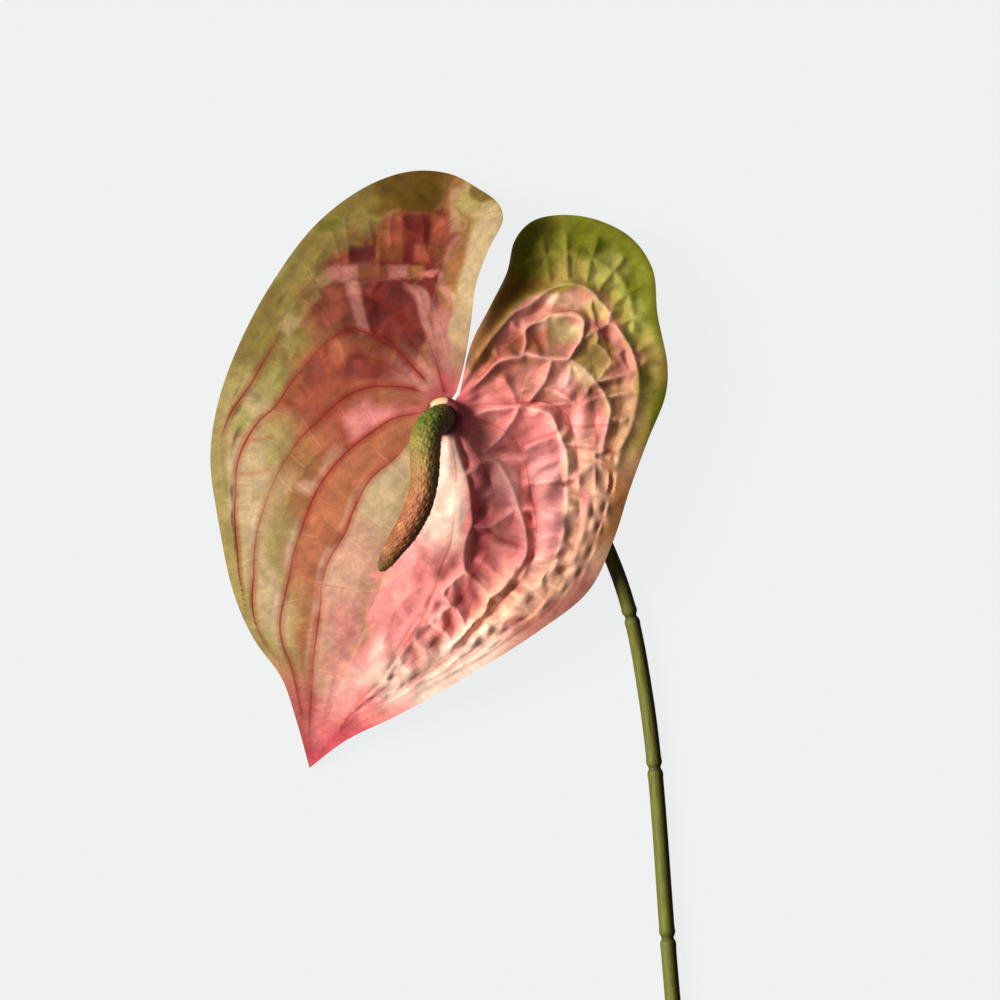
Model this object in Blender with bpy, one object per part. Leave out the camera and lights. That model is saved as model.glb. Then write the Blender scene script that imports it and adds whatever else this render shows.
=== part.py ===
"""A large cut anthurium stem lying on a table.

Four pieces: the heart-shaped spathe with its puckered cells, the collar that seats the spadix,
the spadix, and the long stem that lies on the table and rises under the spathe to the collar.
Lengths are in millimetres until the last step, which makes them metres. X runs across the table,
Y along the stem towards the flower, Z up.
"""
import math

import bpy
import numpy as np

MM = 0.001

# Where the spathe joins the stem, and its tip, on the table plan
BASE = np.array([-4.4, 158.4])
TIP = BASE + np.array([-42.3, -108.3])

# Spathe
BLADE_THICKNESS = 0.8
NOTCH_RADIUS = 3.0          # the round cut in the blade that the stem comes through
SPATHE_TOP = 37.0           # height of the blade over the notch, before it is set on the table
ROWS = 56
BAND_COLUMNS = 4

# Margins of the two lobes, from the notch round to the tip, in mm across and along from BASE
LEFT_MARGIN = [(1.8, 5.0), (3.9, 12.3), (6.3, 25.2), (8.1, 37.2), (12.0, 48.0), (16.2, 57.0), (14.7, 61.8),
               (8.4, 66.7), (0.6, 71.0), (-11.1, 72.0), (-24.3, 67.8), (-39.6, 56.7), (-52.8, 39.6),
               (-63.3, 20.4), (-70.2, 1.2), (-72.3, -15.3), (-70.2, -31.8), (-65.1, -55.8), (-59.1, -69.3),
               (-50.7, -81.0), (-46.2, -93.9), (-42.3, -108.3)]
RIGHT_MARGIN = [(3.2, 4.5), (6.6, 19.2), (12.6, 31.2), (17.4, 41.1), (19.8, 50.7), (24.9, 56.4), (33.3, 58.5),
                (44.4, 57.1), (54.9, 51.6), (61.2, 42.3), (62.7, 28.5), (65.7, 12.9), (65.1, 4.2),
                (59.7, -9.6), (54.3, -24.3), (49.5, -39.3), (42.0, -54.6), (27.6, -66.3), (6.3, -79.8),
                (-14.7, -91.8), (-31.2, -99.9), (-42.3, -108.3)]

# Main veins: the angle from the midrib at which each leaves the notch, and how late it turns back to
# the tip (0.5 bends all the way, near 0 runs out to the rim and follows it)
LEFT_VEINS = ((26, 0.50), (52, 0.50), (92, 0.46), (116, 0.31), (146, 0.17))
RIGHT_VEINS = ((25, 0.47), (49, 0.50), (87, 0.42), (119, 0.24), (158, 0.14))
# Each band between two veins is a ridge, split across into puckered cells. From the midrib out: how
# far across the band its crest runs, how deep the veins lie under it, how deep the cells are, and
# how many there are. -1 is the left half and 1 the right.
CREST_PLACE = {-1: (0.35, 0.5, 0.5, 0.5, 0.5, 0.4), 1: (0.5, 0.4, 0.6, 0.65, 0.5, 0.3)}
VEIN_DEPTH = {-1: (0.9, 0.9, 0.9, 0.9, 0.8, 0.4), 1: (1.0, 1.6, 1.8, 1.8, 1.4, 0.8)}
CELL_DEPTH = {-1: (0.1, 0.3, 0.5, 0.6, 0.6, 0.4), 1: (0.2, 0.8, 1.0, 1.1, 1.0, 0.6)}
CELL_COUNT = (6, 10, 12, 15, 18, 16)
FULL_DEPTH_WIDTH = 9.0      # a band narrower than this has shallower ridges and cells
SEED = 7

# Stem: points of its centre line from the cut end to the collar, in mm from BASE,
STEM_ROUTE = [(79.5, -389.7), (78.6, -365.7), (76.5, -326.7), (73.5, -262.8), (70.2, -211.2), (66.0, -159.9),
              (62.1, -108.6), (59.1, -84.9), (54.9, -62.7), (48.9, -44.7), (39.9, -26.9), (28.4, -12.4),
              (15.9, -2.9), (6.0, -0.6), (1.2, 0.0), (0.0, 0.0)]
# and how far up to the collar it is at each of them, as a share of the whole rise
STEM_RISE = [0, 0, 0, 0, 0, 0, 0, 0.01, 0.06, 0.17, 0.30, 0.42, 0.53, 0.65, 0.82, 1.0]
STEM_TOP = 0.9              # how far it stands out of the notch, into the foot of the collar
STEM_RADIUS_CUT_END = 2.6
STEM_RADIUS_NECK = 2.15
STEM_SIDES = 14
STEM_STEP = 6.5
# Distances along the stem from the cut end to its ring grooves: evenly spaced, closer on the neck
RING_PLACES = np.array([24.5 + 51.5 * count for count in range(6)] + [328.5, 374.0])
RING_HALF_WIDTH = 1.4
RING_DEPTH = 0.5

# Collar and spadix; the collar is a turned seat that leans the way the spadix leaves it
COLLAR_PLACE = np.array([-1.2, -2.1])
COLLAR_AXIS = np.array([-0.22, -0.10, 0.97])
COLLAR_PROFILE = [(0.0, 4.6), (0.5, 5.6), (1.4, 5.9), (2.2, 5.5), (2.7, 4.8)]   # height, radius
COLLAR_LIFT = 1.25          # height of its foot over the blade at the notch
COLLAR_SIDES = 28
SPADIX_ROUTE = [(0.0, 0.0, 0.0), (-0.9, -0.6, 2.6), (-2.9, -1.9, 5.4), (-4.7, -5.4, 8.2), (-5.1, -11.4, 10.4),
                (-5.2, -18.0, 11.6), (-6.6, -25.2, 12.2), (-10.2, -33.0, 11.8), (-14.4, -39.3, 10.6),
                (-18.6, -45.9, 8.6)]
SPADIX_RADII = [(0.0, 4.1), (0.1, 4.4), (0.25, 4.7), (0.45, 4.2), (0.65, 4.0), (0.8, 3.5), (0.93, 2.5), (1.0, 1.0)]
SPADIX_SIDES = 24
SPADIX_RINGS = 58
FLORET_HEIGHT = 0.35

GAP = 0.3                   # clear space between neighbouring pieces

for old in list(bpy.data.objects):
    bpy.data.objects.remove(old, do_unlink=True)


def make_material(name, colour, roughness):
    """A plain coloured surface; colour is linear RGB."""
    material = bpy.data.materials.new(name)
    material.use_nodes = True
    shader = material.node_tree.nodes["Principled BSDF"]
    shader.inputs["Base Color"].default_value = (*colour, 1.0)
    shader.inputs["Roughness"].default_value = roughness
    shader.inputs["Metallic"].default_value = 0.0
    return material


def add_node(name, points, faces, material):
    """A smooth-shaded mesh object; its points come in millimetres."""
    mesh = bpy.data.meshes.new(name)
    mesh.from_pydata((np.asarray(points) * MM).tolist(), [], faces)
    mesh.materials.append(material)
    mesh.validate()
    mesh.shade_smooth()
    mesh.set_sharp_from_angle(angle=math.radians(50))
    node = bpy.data.objects.new(name, mesh)
    bpy.context.collection.objects.link(node)
    return node


def smooth_curve(points, count):
    """A curve through the points, as even steps of a cubic whose slope at each point is its neighbours'."""
    points = np.asarray(points, float)
    knots = np.r_[0, np.cumsum(np.sqrt(np.linalg.norm(np.diff(points, axis=0), axis=1)))]
    slopes = np.gradient(points, knots, axis=0)
    place = np.linspace(0, knots[-1], count)
    left = np.clip(np.searchsorted(knots, place, "right") - 1, 0, len(points) - 2)
    span = (knots[left + 1] - knots[left])[:, None]
    s = (place - knots[left])[:, None] / span
    start, end = points[left], points[left + 1]
    leave, arrive = slopes[left] * span, slopes[left + 1] * span
    return ((2 * s**3 - 3 * s**2 + 1) * start + (s**3 - 2 * s**2 + s) * leave
            + (3 * s**2 - 2 * s**3) * end + (s**3 - s**2) * arrive)


def arc_lengths(curve):
    """Length along the curve up to each of its points."""
    return np.r_[0, np.cumsum(np.linalg.norm(np.diff(curve, axis=0), axis=1))]


def along(curve, fractions):
    """Points of the curve at fractions of its length."""
    length = arc_lengths(curve)
    return np.stack([np.interp(fractions, length / length[-1], axis) for axis in curve.T], axis=1)


def blade_height(x, y):
    """Height of the blade over the plan point x, y, both from BASE.

    A roof with a rounded ridge along the midrib, sloping left and nearly level to the right, bowed down
    towards the tip, with the two lobes curled up along the cleft and the right rim turned down.
    """
    axis = (TIP - BASE) / np.linalg.norm(TIP - BASE)
    down = x * axis[0] + y * axis[1]
    across = y * axis[0] - x * axis[1]
    height = SPATHE_TOP - 0.45 * (np.hypot(np.minimum(across, 0), 12.0) - 12.0)
    height -= 0.12 * (np.hypot(np.maximum(across, 0), 12.0) - 12.0)
    height -= 26.0 * (np.maximum(down - 8.0, 0) / 110.0) ** 1.8
    height -= 9.0 * (np.maximum(-down - 20.0, 0) / 45.0) ** 2
    height -= 0.012 * np.maximum(across - 42.0, 0) ** 2

    # distance from the cleft, negative on the left lobe, and how far up the lobes
    cleft = np.array([0.268, 0.963])
    aside = x * cleft[1] - y * cleft[0]
    up = np.clip((x * cleft[0] + y * cleft[1]) / 45.0, 0, 1)
    lift = up**1.3
    height += lift * 7.0 * np.exp(-(aside / 9.0) ** 2)
    height -= lift * 3.5 * np.exp(-((aside + 17.0) / 9.0) ** 2)
    height -= lift * 1.5 * np.exp(-((aside - 15.0) / 8.0) ** 2)
    return height


def rim_radius(margin):
    """A function giving the rim's distance from BASE at an angle from the midrib in degrees."""
    radius = np.hypot(margin[:, 0], margin[:, 1])
    angle = angle_from_midrib(margin)
    rim = radius > 52.0
    order = np.argsort(angle[rim])
    return lambda degrees: np.interp(degrees, angle[rim][order], radius[rim][order])


def angle_from_midrib(points):
    """Angle of plan points from the midrib, 0 to 180 degrees on either side."""
    midrib = math.atan2(*(TIP - BASE)[::-1])
    turn = np.degrees(np.arctan2(points[:, 1], points[:, 0]) - midrib)
    return np.abs((turn + 180) % 360 - 180)


def vein(side, start, power, rim):
    """A main vein: its angle falls evenly from start to 0 as it runs out to the rim and the tip."""
    progress = np.linspace(0, 1, 900)
    degrees = start * (1 - progress)
    radius = np.maximum(progress**power * rim(degrees), NOTCH_RADIUS)
    heading = math.atan2(*(TIP - BASE)[::-1]) + side * np.radians(degrees)
    return radius[:, None] * np.stack([np.cos(heading), np.sin(heading)], axis=1)


def blade_lines(side):
    """The lines from notch to tip on one side of the midrib: its veins, then the margin."""
    margin = smooth_curve(LEFT_MARGIN if side < 0 else RIGHT_MARGIN, 1200)
    rim = rim_radius(margin)
    veins = LEFT_VEINS if side < 0 else RIGHT_VEINS
    return [vein(side, start, power, rim) for start, power in veins] + [margin]


def band_relief(side, band, across, rows, width, rng):
    """How far one band lies below its crest: a ridge between sunken veins, dished between cross walls."""
    count = CELL_COUNT[band]
    walls = 0.05 + 0.93 * np.linspace(0, 1, count + 1) ** 0.85
    walls[1:-1] += rng.uniform(-0.25, 0.25, count - 1) / count
    walls = np.round(walls * ROWS) / ROWS
    cell = np.clip(np.searchsorted(walls, rows, "right") - 1, 0, count - 1)
    inside = np.clip((rows - walls[cell]) / np.maximum(walls[cell + 1] - walls[cell], 1 / ROWS), 0, 1)
    dish_along = (1 - np.abs(2 * inside - 1) ** 2.5) * rng.uniform(0.7, 1.2, count)[cell]

    crest = CREST_PLACE[side][band]
    ridge = np.where(across < crest, across / crest, (1 - across) / (1 - crest))
    dish_across = 4 * ridge * (1 - ridge) + 0.35 * ridge
    fade = np.clip(rows / 0.1, 0, 1) * np.clip(width / FULL_DEPTH_WIDTH, 0, 1)
    valley = VEIN_DEPTH[side][band] * (1 - ridge)[None, :]
    return fade[:, None] * (valley + CELL_DEPTH[side][band] * dish_along[:, None] * dish_across[None, :])


def blade_grid():
    """Plan points and relief depth of the blade, as rows from notch to tip and columns left to right."""
    rng = np.random.default_rng(SEED)
    rows = np.linspace(0, 1, ROWS + 1)
    direction = (TIP - BASE) / np.linalg.norm(TIP - BASE)
    midrib = np.array([direction * NOTCH_RADIUS, TIP - BASE])
    halves = {}
    for side in (-1, 1):
        lines = [along(line, rows) for line in [midrib] + blade_lines(side)]
        plan, depth = [], []
        for band in range(len(lines) - 1):
            outermost = band == len(lines) - 2
            across = np.arange(BAND_COLUMNS + outermost) / BAND_COLUMNS
            inner, outer = lines[band][:, None], lines[band + 1][:, None]
            plan.append(inner + (outer - inner) * across[None, :, None])
            width = np.linalg.norm(lines[band + 1] - lines[band], axis=1)
            depth.append(band_relief(side, band, across, rows, width, rng))
        halves[side] = (np.concatenate(plan, axis=1), np.concatenate(depth, axis=1))
    plan = np.concatenate([halves[-1][0][:, :0:-1], halves[1][0]], axis=1)
    depth = np.concatenate([halves[-1][1][:, :0:-1], halves[1][1]], axis=1)
    return plan, depth


def grid_faces(rows, columns, first, flip):
    """Triangles of a grid of points numbered row by row from first."""
    faces = []
    for row in range(rows - 1):
        for column in range(columns - 1):
            a = first + row * columns + column
            b, c, d = a + 1, a + columns, a + columns + 1
            pair = [(a, b, d), (a, d, c)]
            faces += [face[::-1] for face in pair] if flip else pair
    return faces


def build_spathe(material):
    """The blade: a top face, a bottom face under it, and a wall round the rim and the notch."""
    plan, depth = blade_grid()
    plan = plan[:-1]
    depth = depth[:-1]
    rows, columns = plan.shape[:2]
    flat = np.vstack([plan.reshape(-1, 2), TIP - BASE])
    relief = np.r_[depth.ravel(), 0]
    top = blade_height(flat[:, 0], flat[:, 1]) - relief

    step = 0.05
    slope_x = (blade_height(flat[:, 0] + step, flat[:, 1]) - blade_height(flat[:, 0] - step, flat[:, 1])) / (2 * step)
    slope_y = (blade_height(flat[:, 0], flat[:, 1] + step) - blade_height(flat[:, 0], flat[:, 1] - step)) / (2 * step)
    bottom = top - BLADE_THICKNESS * np.sqrt(1 + slope_x**2 + slope_y**2)
    floor = bottom.min()
    plan_points = flat + BASE
    upper = np.c_[plan_points, top - floor]
    lower = np.c_[plan_points, bottom - floor]
    count = len(upper)
    tip = count - 1

    faces = grid_faces(rows, columns, 0, True) + grid_faces(rows, columns, count, False)
    last = (rows - 1) * columns
    for column in range(columns - 1):
        a, b = last + column, last + column + 1
        faces += [(a, tip, b), (a + count, b + count, tip + count)]
    left_side = [row * columns for row in range(rows)]
    right_side = [row * columns + columns - 1 for row in range(rows)]
    border = left_side[::-1] + list(range(1, columns)) + right_side[1:] + [tip]
    for here, after in zip(border, border[1:] + border[:1]):
        faces += [(here, after, after + count), (here, after + count, here + count)]
    add_node("spathe", np.vstack([upper, lower]), faces, material)
    return SPATHE_TOP - floor


def sweep(path, radii, sides, across):
    """Rings of points round a path, each square to it and turned as little as can be from the last.

    across is a direction roughly square to the start; the first flat of each ring faces down.
    """
    tangent = np.gradient(path, axis=0)
    tangent /= np.linalg.norm(tangent, axis=1)[:, None]
    side = np.empty_like(tangent)
    before = np.asarray(across, float)
    for ring, heading in enumerate(tangent):
        before = before - heading * (before @ heading)
        before /= np.linalg.norm(before)
        side[ring] = before
    up = np.cross(tangent, side)
    angle = 2 * np.pi * (np.arange(sides) + 0.5) / sides - np.pi / 2
    ring_shape = np.cos(angle)[None, :, None] * side[:, None] + np.sin(angle)[None, :, None] * up[:, None]
    return path[:, None] + ring_shape * np.asarray(radii).reshape(len(path), -1, 1)


def tube_faces(rings, sides):
    """Faces of a swept tube, with a flat cap at each end."""
    faces = []
    for ring in range(rings - 1):
        for corner in range(sides):
            a = ring * sides + corner
            b = ring * sides + (corner + 1) % sides
            faces += [(a, b, b + sides), (a, b + sides, a + sides)]
    start = tuple(range(sides))
    end = tuple(range((rings - 1) * sides, rings * sides))
    return faces + [start[::-1], end]


def stem_places(length):
    """Where the stem's rings of points stand: evenly, closer in the last bend and at each groove."""
    bend = length - 36.0
    even = list(np.arange(0, bend - 2.0, STEM_STEP)) + list(np.arange(bend, length - 2.0, 2.6))
    clear = [place for place in even if np.min(np.abs(place - RING_PLACES)) > 2 * RING_HALF_WIDTH]
    grooves = [place + RING_HALF_WIDTH * share for place in RING_PLACES for share in (-1.3, -0.6, 0, 0.6, 1.3)]
    return np.array(sorted(clear + grooves) + [length])


def build_stem(material, blade_top):
    """The stem: flat-bottomed where it lies, ring grooves along it, and a neck up to the collar."""
    plan = np.asarray(STEM_ROUTE) + BASE
    lying = STEM_RADIUS_NECK * math.cos(math.pi / STEM_SIDES)
    heights = np.asarray(STEM_RISE) * (blade_top + STEM_TOP - lying)
    route = smooth_curve(np.c_[plan, heights], 3000)
    length = arc_lengths(route)
    places = stem_places(length[-1])
    path = np.stack([np.interp(places, length, axis) for axis in route.T], axis=1)
    taper = np.interp(places, [0, length[-1]], [STEM_RADIUS_CUT_END, STEM_RADIUS_NECK])
    path[:, 2] += taper * math.cos(math.pi / STEM_SIDES)
    nearest = np.min(np.abs(places[:, None] - RING_PLACES[None]), axis=1) / RING_HALF_WIDTH
    radii = taper - RING_DEPTH * np.clip(1 - nearest, 0, 1)
    rings = sweep(path, radii, STEM_SIDES, (-1, 0, 0))
    rings[..., 2] = np.maximum(rings[..., 2], 0)
    add_node("stem", rings.reshape(-1, 3), tube_faces(len(path), STEM_SIDES), material)


def build_collar(material, blade_top):
    """The seat of the spadix: a turned form with a rounded lip, just clear of the blade and stem."""
    axis = COLLAR_AXIS / np.linalg.norm(COLLAR_AXIS)
    rise, radii = np.array(COLLAR_PROFILE).T
    foot = np.r_[BASE + COLLAR_PLACE, blade_top + COLLAR_LIFT]
    path = foot + axis * rise[:, None]
    rings = sweep(path, radii, COLLAR_SIDES, (1, 0, 0))
    add_node("spadix_collar", rings.reshape(-1, 3), tube_faces(len(path), COLLAR_SIDES), material)
    return path[-1] + axis * (GAP + 0.2)


def build_spadix(material, seat):
    """The spadix: a curved tapering finger, its florets as a lattice of low bumps."""
    route = smooth_curve(np.vstack([-COLLAR_AXIS * 0.5, SPADIX_ROUTE]), 900)
    route = route[np.argmin(np.linalg.norm(route, axis=1)):] + seat
    share = np.linspace(0, 1, SPADIX_RINGS)
    path = along(route, share)
    radii = np.interp(share, *np.array(SPADIX_RADII).T)
    bump = (np.arange(SPADIX_RINGS)[:, None] + np.arange(SPADIX_SIDES)[None]) % 2
    bump = bump * FLORET_HEIGHT * (radii / max(radii))[:, None]
    bump[0] = bump[-1] = 0
    rings = sweep(path, radii[:, None] + bump, SPADIX_SIDES, (1, 0, 0))
    add_node("spadix", rings.reshape(-1, 3), tube_faces(SPADIX_RINGS, SPADIX_SIDES), material)


spathe_colour = make_material("spathe_skin", (0.62, 0.27, 0.20), 0.5)
stem_colour = make_material("stem_skin", (0.13, 0.17, 0.03), 0.45)
collar_colour = make_material("collar_skin", (0.60, 0.38, 0.20), 0.5)
spadix_colour = make_material("spadix_skin", (0.36, 0.24, 0.07), 0.6)

blade_top_at_notch = build_spathe(spathe_colour)
build_stem(stem_colour, blade_top_at_notch)
seat = build_collar(collar_colour, blade_top_at_notch)
build_spadix(spadix_colour, seat)
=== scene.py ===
"""A large cut anthurium lying on a pale table and seen from straight above.

The order follows the flower: the blade of the spathe, the collar in its notch, the spadix on the
collar, and the stem. The table, light and camera come last. X runs across the table, Y along the stem
towards the flower, Z up. Shapes are worked out in millimetres and turned to metres in their meshes.
"""
import math

import bpy
import numpy as np
from mathutils.geometry import delaunay_2d_cdt
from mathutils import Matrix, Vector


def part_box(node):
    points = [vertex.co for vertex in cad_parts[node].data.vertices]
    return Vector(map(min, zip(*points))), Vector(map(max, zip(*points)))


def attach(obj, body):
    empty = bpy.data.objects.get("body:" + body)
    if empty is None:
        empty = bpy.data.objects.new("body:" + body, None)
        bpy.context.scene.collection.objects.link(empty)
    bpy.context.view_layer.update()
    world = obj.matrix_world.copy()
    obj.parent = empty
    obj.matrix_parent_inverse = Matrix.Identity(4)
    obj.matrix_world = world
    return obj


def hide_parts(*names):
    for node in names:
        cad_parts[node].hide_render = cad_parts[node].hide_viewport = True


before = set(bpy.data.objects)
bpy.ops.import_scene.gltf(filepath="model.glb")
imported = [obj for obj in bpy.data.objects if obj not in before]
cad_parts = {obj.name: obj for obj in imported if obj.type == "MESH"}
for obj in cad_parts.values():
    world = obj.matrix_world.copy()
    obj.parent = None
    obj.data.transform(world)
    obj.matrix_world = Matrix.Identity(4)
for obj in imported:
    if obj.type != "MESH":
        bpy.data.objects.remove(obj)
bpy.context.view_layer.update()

MM = 0.001

# ---------------------------------------------------------------------------------------------
# Spathe. The heart-shaped bract round the spadix: one leathery blade 0.8 mm thick, slit by a cleft
# down to a round notch where the stem comes through. Its veins are pressed in, and low folds between
# them part the skin into cells, deep on the right half and faint on the left. The skin is waxed.

BASE = np.array([-4.4, 158.4])
TIP = BASE + np.array([-42.3, -108.3])
MIDRIB = (TIP - BASE) / np.linalg.norm(TIP - BASE)
BLADE_THICKNESS = 0.8
NOTCH_RADIUS = 3.0
SPATHE_TOP = 37.0
FACE_SPACING = 0.493        # mm between points on the front
BACK_SPACING = 1.1          # and on the back

LEFT_MARGIN = [
    (2.2, 5), (4.3, 12.3), (6.5, 25.2), (8.1, 37.2), (12, 48), (16.2, 57), (14.7, 61.8), (8.4, 66.7),
    (0.6, 71), (-11.1, 72), (-24.3, 67.8), (-39.6, 56.7), (-52.8, 39.6), (-63.3, 20.4), (-70.2, 1.2),
    (-72.3, -15.3), (-70.2, -31.8), (-65.1, -55.8), (-59.1, -69.3), (-50.7, -81), (-46.2, -93.9),
    (-42.3, -108.3)]
RIGHT_MARGIN = [
    (3.2, 4.5), (6.6, 19.2), (12.6, 31.2), (17.4, 41.1), (19.8, 50.7), (24.9, 56.4), (33.3, 58.5),
    (44.4, 57.1), (54.9, 51.6), (61.2, 42.3), (62.7, 28.5), (65.7, 12.9), (65.1, 4.2), (59.7, -9.6),
    (54.3, -24.3), (49.5, -39.3), (42, -54.6), (27.6, -66.3), (6.3, -79.8), (-14.7, -91.8), (-31.2, -99.9),
    (-42.3, -108.3)]

# The main veins from the midrib out, from the notch to their last bend before the tip. -1 is the left half.
VEINS = {
    -1: [
        [(-2.3, -2), (-11.4, -9.7), (-21.6, -19.9), (-28, -29.1), (-31.7, -36.5), (-35.4, -42.9),
         (-37.3, -50.3), (-38.6, -57.7), (-40, -66.9), (-40.9, -74.2), (-42, -92.7)],
        [(-3, -0.3), (-8.7, -1), (-16.1, -2.8), (-21.6, -5.6), (-29, -11.1), (-34.5, -17.1), (-39.1, -23.6),
         (-42.8, -30.9), (-45.1, -38.3), (-47.4, -45.7), (-49.7, -54), (-50.4, -62.3), (-49.5, -70.6),
         (-47.4, -77.9), (-45.1, -90.8)],
        [(-2.6, 1.5), (-10, 5.8), (-16.1, 7.3), (-24.4, 6.9), (-32.6, 2.3), (-40.9, -5.1), (-47.4, -12),
         (-52, -19), (-55.2, -28.2), (-57.1, -35.5), (-58.9, -42.9), (-59.4, -51.2), (-59.4, -58.6),
         (-58, -65), (-54.8, -72.4), (-50.2, -80.2), (-46.5, -90.8)],
        [(-1.9, 2.3), (-10.5, 12.1), (-17.4, 19.2), (-24.6, 23.2), (-30.3, 23.5), (-36, 20.3),
         (-43.9, 13.1), (-51.1, 2.5), (-57.5, -3.3), (-61.2, -9.7), (-64.4, -19), (-65.4, -28.2),
         (-64.9, -35.5), (-64, -42.9), (-63.6, -50.3), (-61.9, -59.5), (-57.7, -67.8), (-51.8, -76.6),
         (-47.9, -84.4)],
        [(-0.8, 2.9), (-5.2, 17.5), (-8.9, 27.5), (-13, 37), (-18.5, 43.6), (-25.5, 46.2), (-34.6, 44.6),
         (-40.9, 40.3), (-47.2, 32), (-51.5, 23.2), (-57.5, 12.5), (-63.1, 4.6), (-67, -2.5), (-68.8, -11),
         (-68.6, -21.7), (-67.6, -31), (-65.6, -41), (-63.9, -50), (-61.8, -58), (-57, -68.8),
         (-49.7, -79.5), (-46, -91.5)]],
    1: [
        [(0.3, -3), (1.2, -14), (2, -26), (0.9, -37), (-1.8, -45.7), (-4.5, -54.9), (-8.7, -63.2),
         (-14.2, -72.4), (-21.6, -82.1), (-29.9, -92.3), (-36.3, -100.6)],
        [(1.4, -2.6), (4.5, -7.5), (8, -12.8), (10, -16.5), (11.5, -19.5), (13, -24), (13.8, -29),
         (13.3, -33.6), (12.4, -38), (11.4, -41.6), (9.7, -46), (7, -50), (5.3, -54.8), (2, -59.8),
         (-0.8, -65.5), (-5.5, -71), (-12, -77), (-19, -83.5), (-26.5, -90), (-33.8, -96.5)],
        [(2.8, -1.1), (9, -3), (15, -5.6), (20.5, -10.5), (22.4, -14.5), (23.6, -18.5), (24.2, -23.5),
         (24.8, -29), (25.8, -34), (26.2, -39), (25.4, -45), (21.8, -51.2), (18, -55.6), (14, -60),
         (9.6, -65.4), (4.2, -71.3), (-3, -77), (-12, -83.2), (-22, -89.6), (-32, -96.4)],
        [(3, 0.4), (12, 1.6), (22, 2.4), (30.3, 1), (35.4, -2.6), (38, -10.8), (39, -24.2), (38.3, -36.5),
         (35.4, -45.7), (27.6, -57), (18.3, -65.5), (6.3, -74), (-5.7, -81.8), (-19.2, -89.2),
         (-31.2, -96.6)],
        [(2.1, 2.2), (11.5, 12.1), (22, 22.8), (28.8, 28.2), (37.4, 29.4), (44.6, 24.6), (48.8, 15.9),
         (50.6, 6.7), (50.5, -2.6), (49, -13.9), (47.2, -26.2), (44, -38.5), (38.4, -50), (32.6, -57.2),
         (20, -67.6), (5, -77.2), (-8, -85.2), (-20.5, -91.8), (-32, -98.4)]]}
# How far across each band between two lines its crest runs, from the midrib out. Then, for the valley
# of each line from the midrib to the rim: its depth, and the length of its cells near and far
CREST_PLACE = {-1: (0.35, 0.5, 0.5, 0.5, 0.5, 0.4), 1: (0.5, 0.5, 0.74, 0.68, 0.55, 0.28)}
VALLEY_DEPTH = {-1: (0.4, 0.5, 0.6, 0.8, 1.1, 1.0, 0.2), 1: (0.6, 1.1, 2.3, 2.8, 2.5, 2.2, 0.7)}
CELL_LENGTH = {-1: ((16, 14), (14, 12), (13, 10), (10, 8), (7.5, 7), (7, 6.5), (9, 8)),
               1: ((16, 12), (12, 8), (8, 5.5), (7.5, 5.5), (7.5, 6), (8.5, 6), (9, 8))}
# Folds raised between the cells: how high each stands, then its points. A fold with a minus sign is a
# crease, pressed in and red.
LEFT_FOLDS = [
    (0.8, [(-36.5, 56.5), (-35, 52), (-33.8, 48), (-33.4, 44.6)]), (0.9, [(-31.4, 57.4), (-31, 52),
    (-30.6, 48), (-30.8, 45)]), (0.9, [(-25.4, 58.4), (-24.6, 54), (-23.4, 50)]), (0.9, [(-16.6, 60.2),
    (-17.8, 57), (-18, 53), (-17.6, 50)]), (0.8, [(-8.6, 59.4), (-7.6, 56), (-8, 52), (-9.6, 48.6)]),
    (0.8, [(-36, 54.8), (-31, 55.4), (-25, 58), (-19, 59.6), (-13, 59.6), (-8, 59.2), (-3, 57.6),
    (0.5, 55)]), (0.6, [(-33.4, 50), (-28, 49.8), (-21, 50.2), (-10, 50)]), (0.8, [(-21.4, 50), (-21.2, 45),
    (-21.4, 39)]), (0.9, [(-41, 37), (-36, 38), (-30.4, 39), (-27, 38.6), (-21.4, 39), (-16, 39.6),
    (-12, 37), (-8.4, 32), (-6.2, 26.5), (-5, 20), (-4.2, 12)]), (0.8, [(-29.6, 39), (-27.2, 33),
    (-25.4, 27), (-24, 23.6)]), (0.5, [(-40, 36), (-38, 31), (-33.4, 27), (-31.6, 23.8)]),
    (0.9, [(-10.4, 37.6), (-7, 40.4), (-3.4, 44), (-1, 45.6)]), (0.8, [(-1, 45.6), (2, 48.4), (4.6, 50.6)]),
    (0.8, [(-1.4, 45.6), (-3.6, 48.4), (-2.4, 52.6), (0.4, 56)]), (0.9, [(-2.4, 41.6), (-3.4, 37),
    (-4.4, 31.6), (-3, 27), (-1.6, 20)]), (0.6, [(0.6, 67.4), (2.6, 67.2), (5, 65), (9, 63)]),
    (0.7, [(0.6, 67), (1, 62), (0.6, 57)]), (0.5, [(8, 58), (5.6, 50), (3.8, 40), (2.6, 30), (1.4, 20),
    (0.4, 10)]), (0.7, [(-47, 31), (-44, 35), (-41, 37), (-40.6, 42), (-40, 46)]), (0.8, [(-53, 22),
    (-57, 16), (-60.5, 9), (-62.4, 5.4), (-64.6, 0), (-66.6, -3), (-67, -8), (-67.2, -15), (-66.4, -21)]),
    (0.6, [(-61, 2.4), (-56, 1.6), (-51, 0.2)]), (0.5, [(-53, 15.2), (-57, 17), (-61, 18.6)]),
    (0.6, [(-49, 1), (-47, -2), (-46.4, -6), (-49, -9)]), (-0.5, [(-65, -8.4), (-62.4, -8)]),
    (-0.6, [(-61, -9.6), (-57, -9.2), (-53, -8.4)]), (-0.5, [(-62, -19.2), (-58, -19), (-55, -18.8)])]
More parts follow.
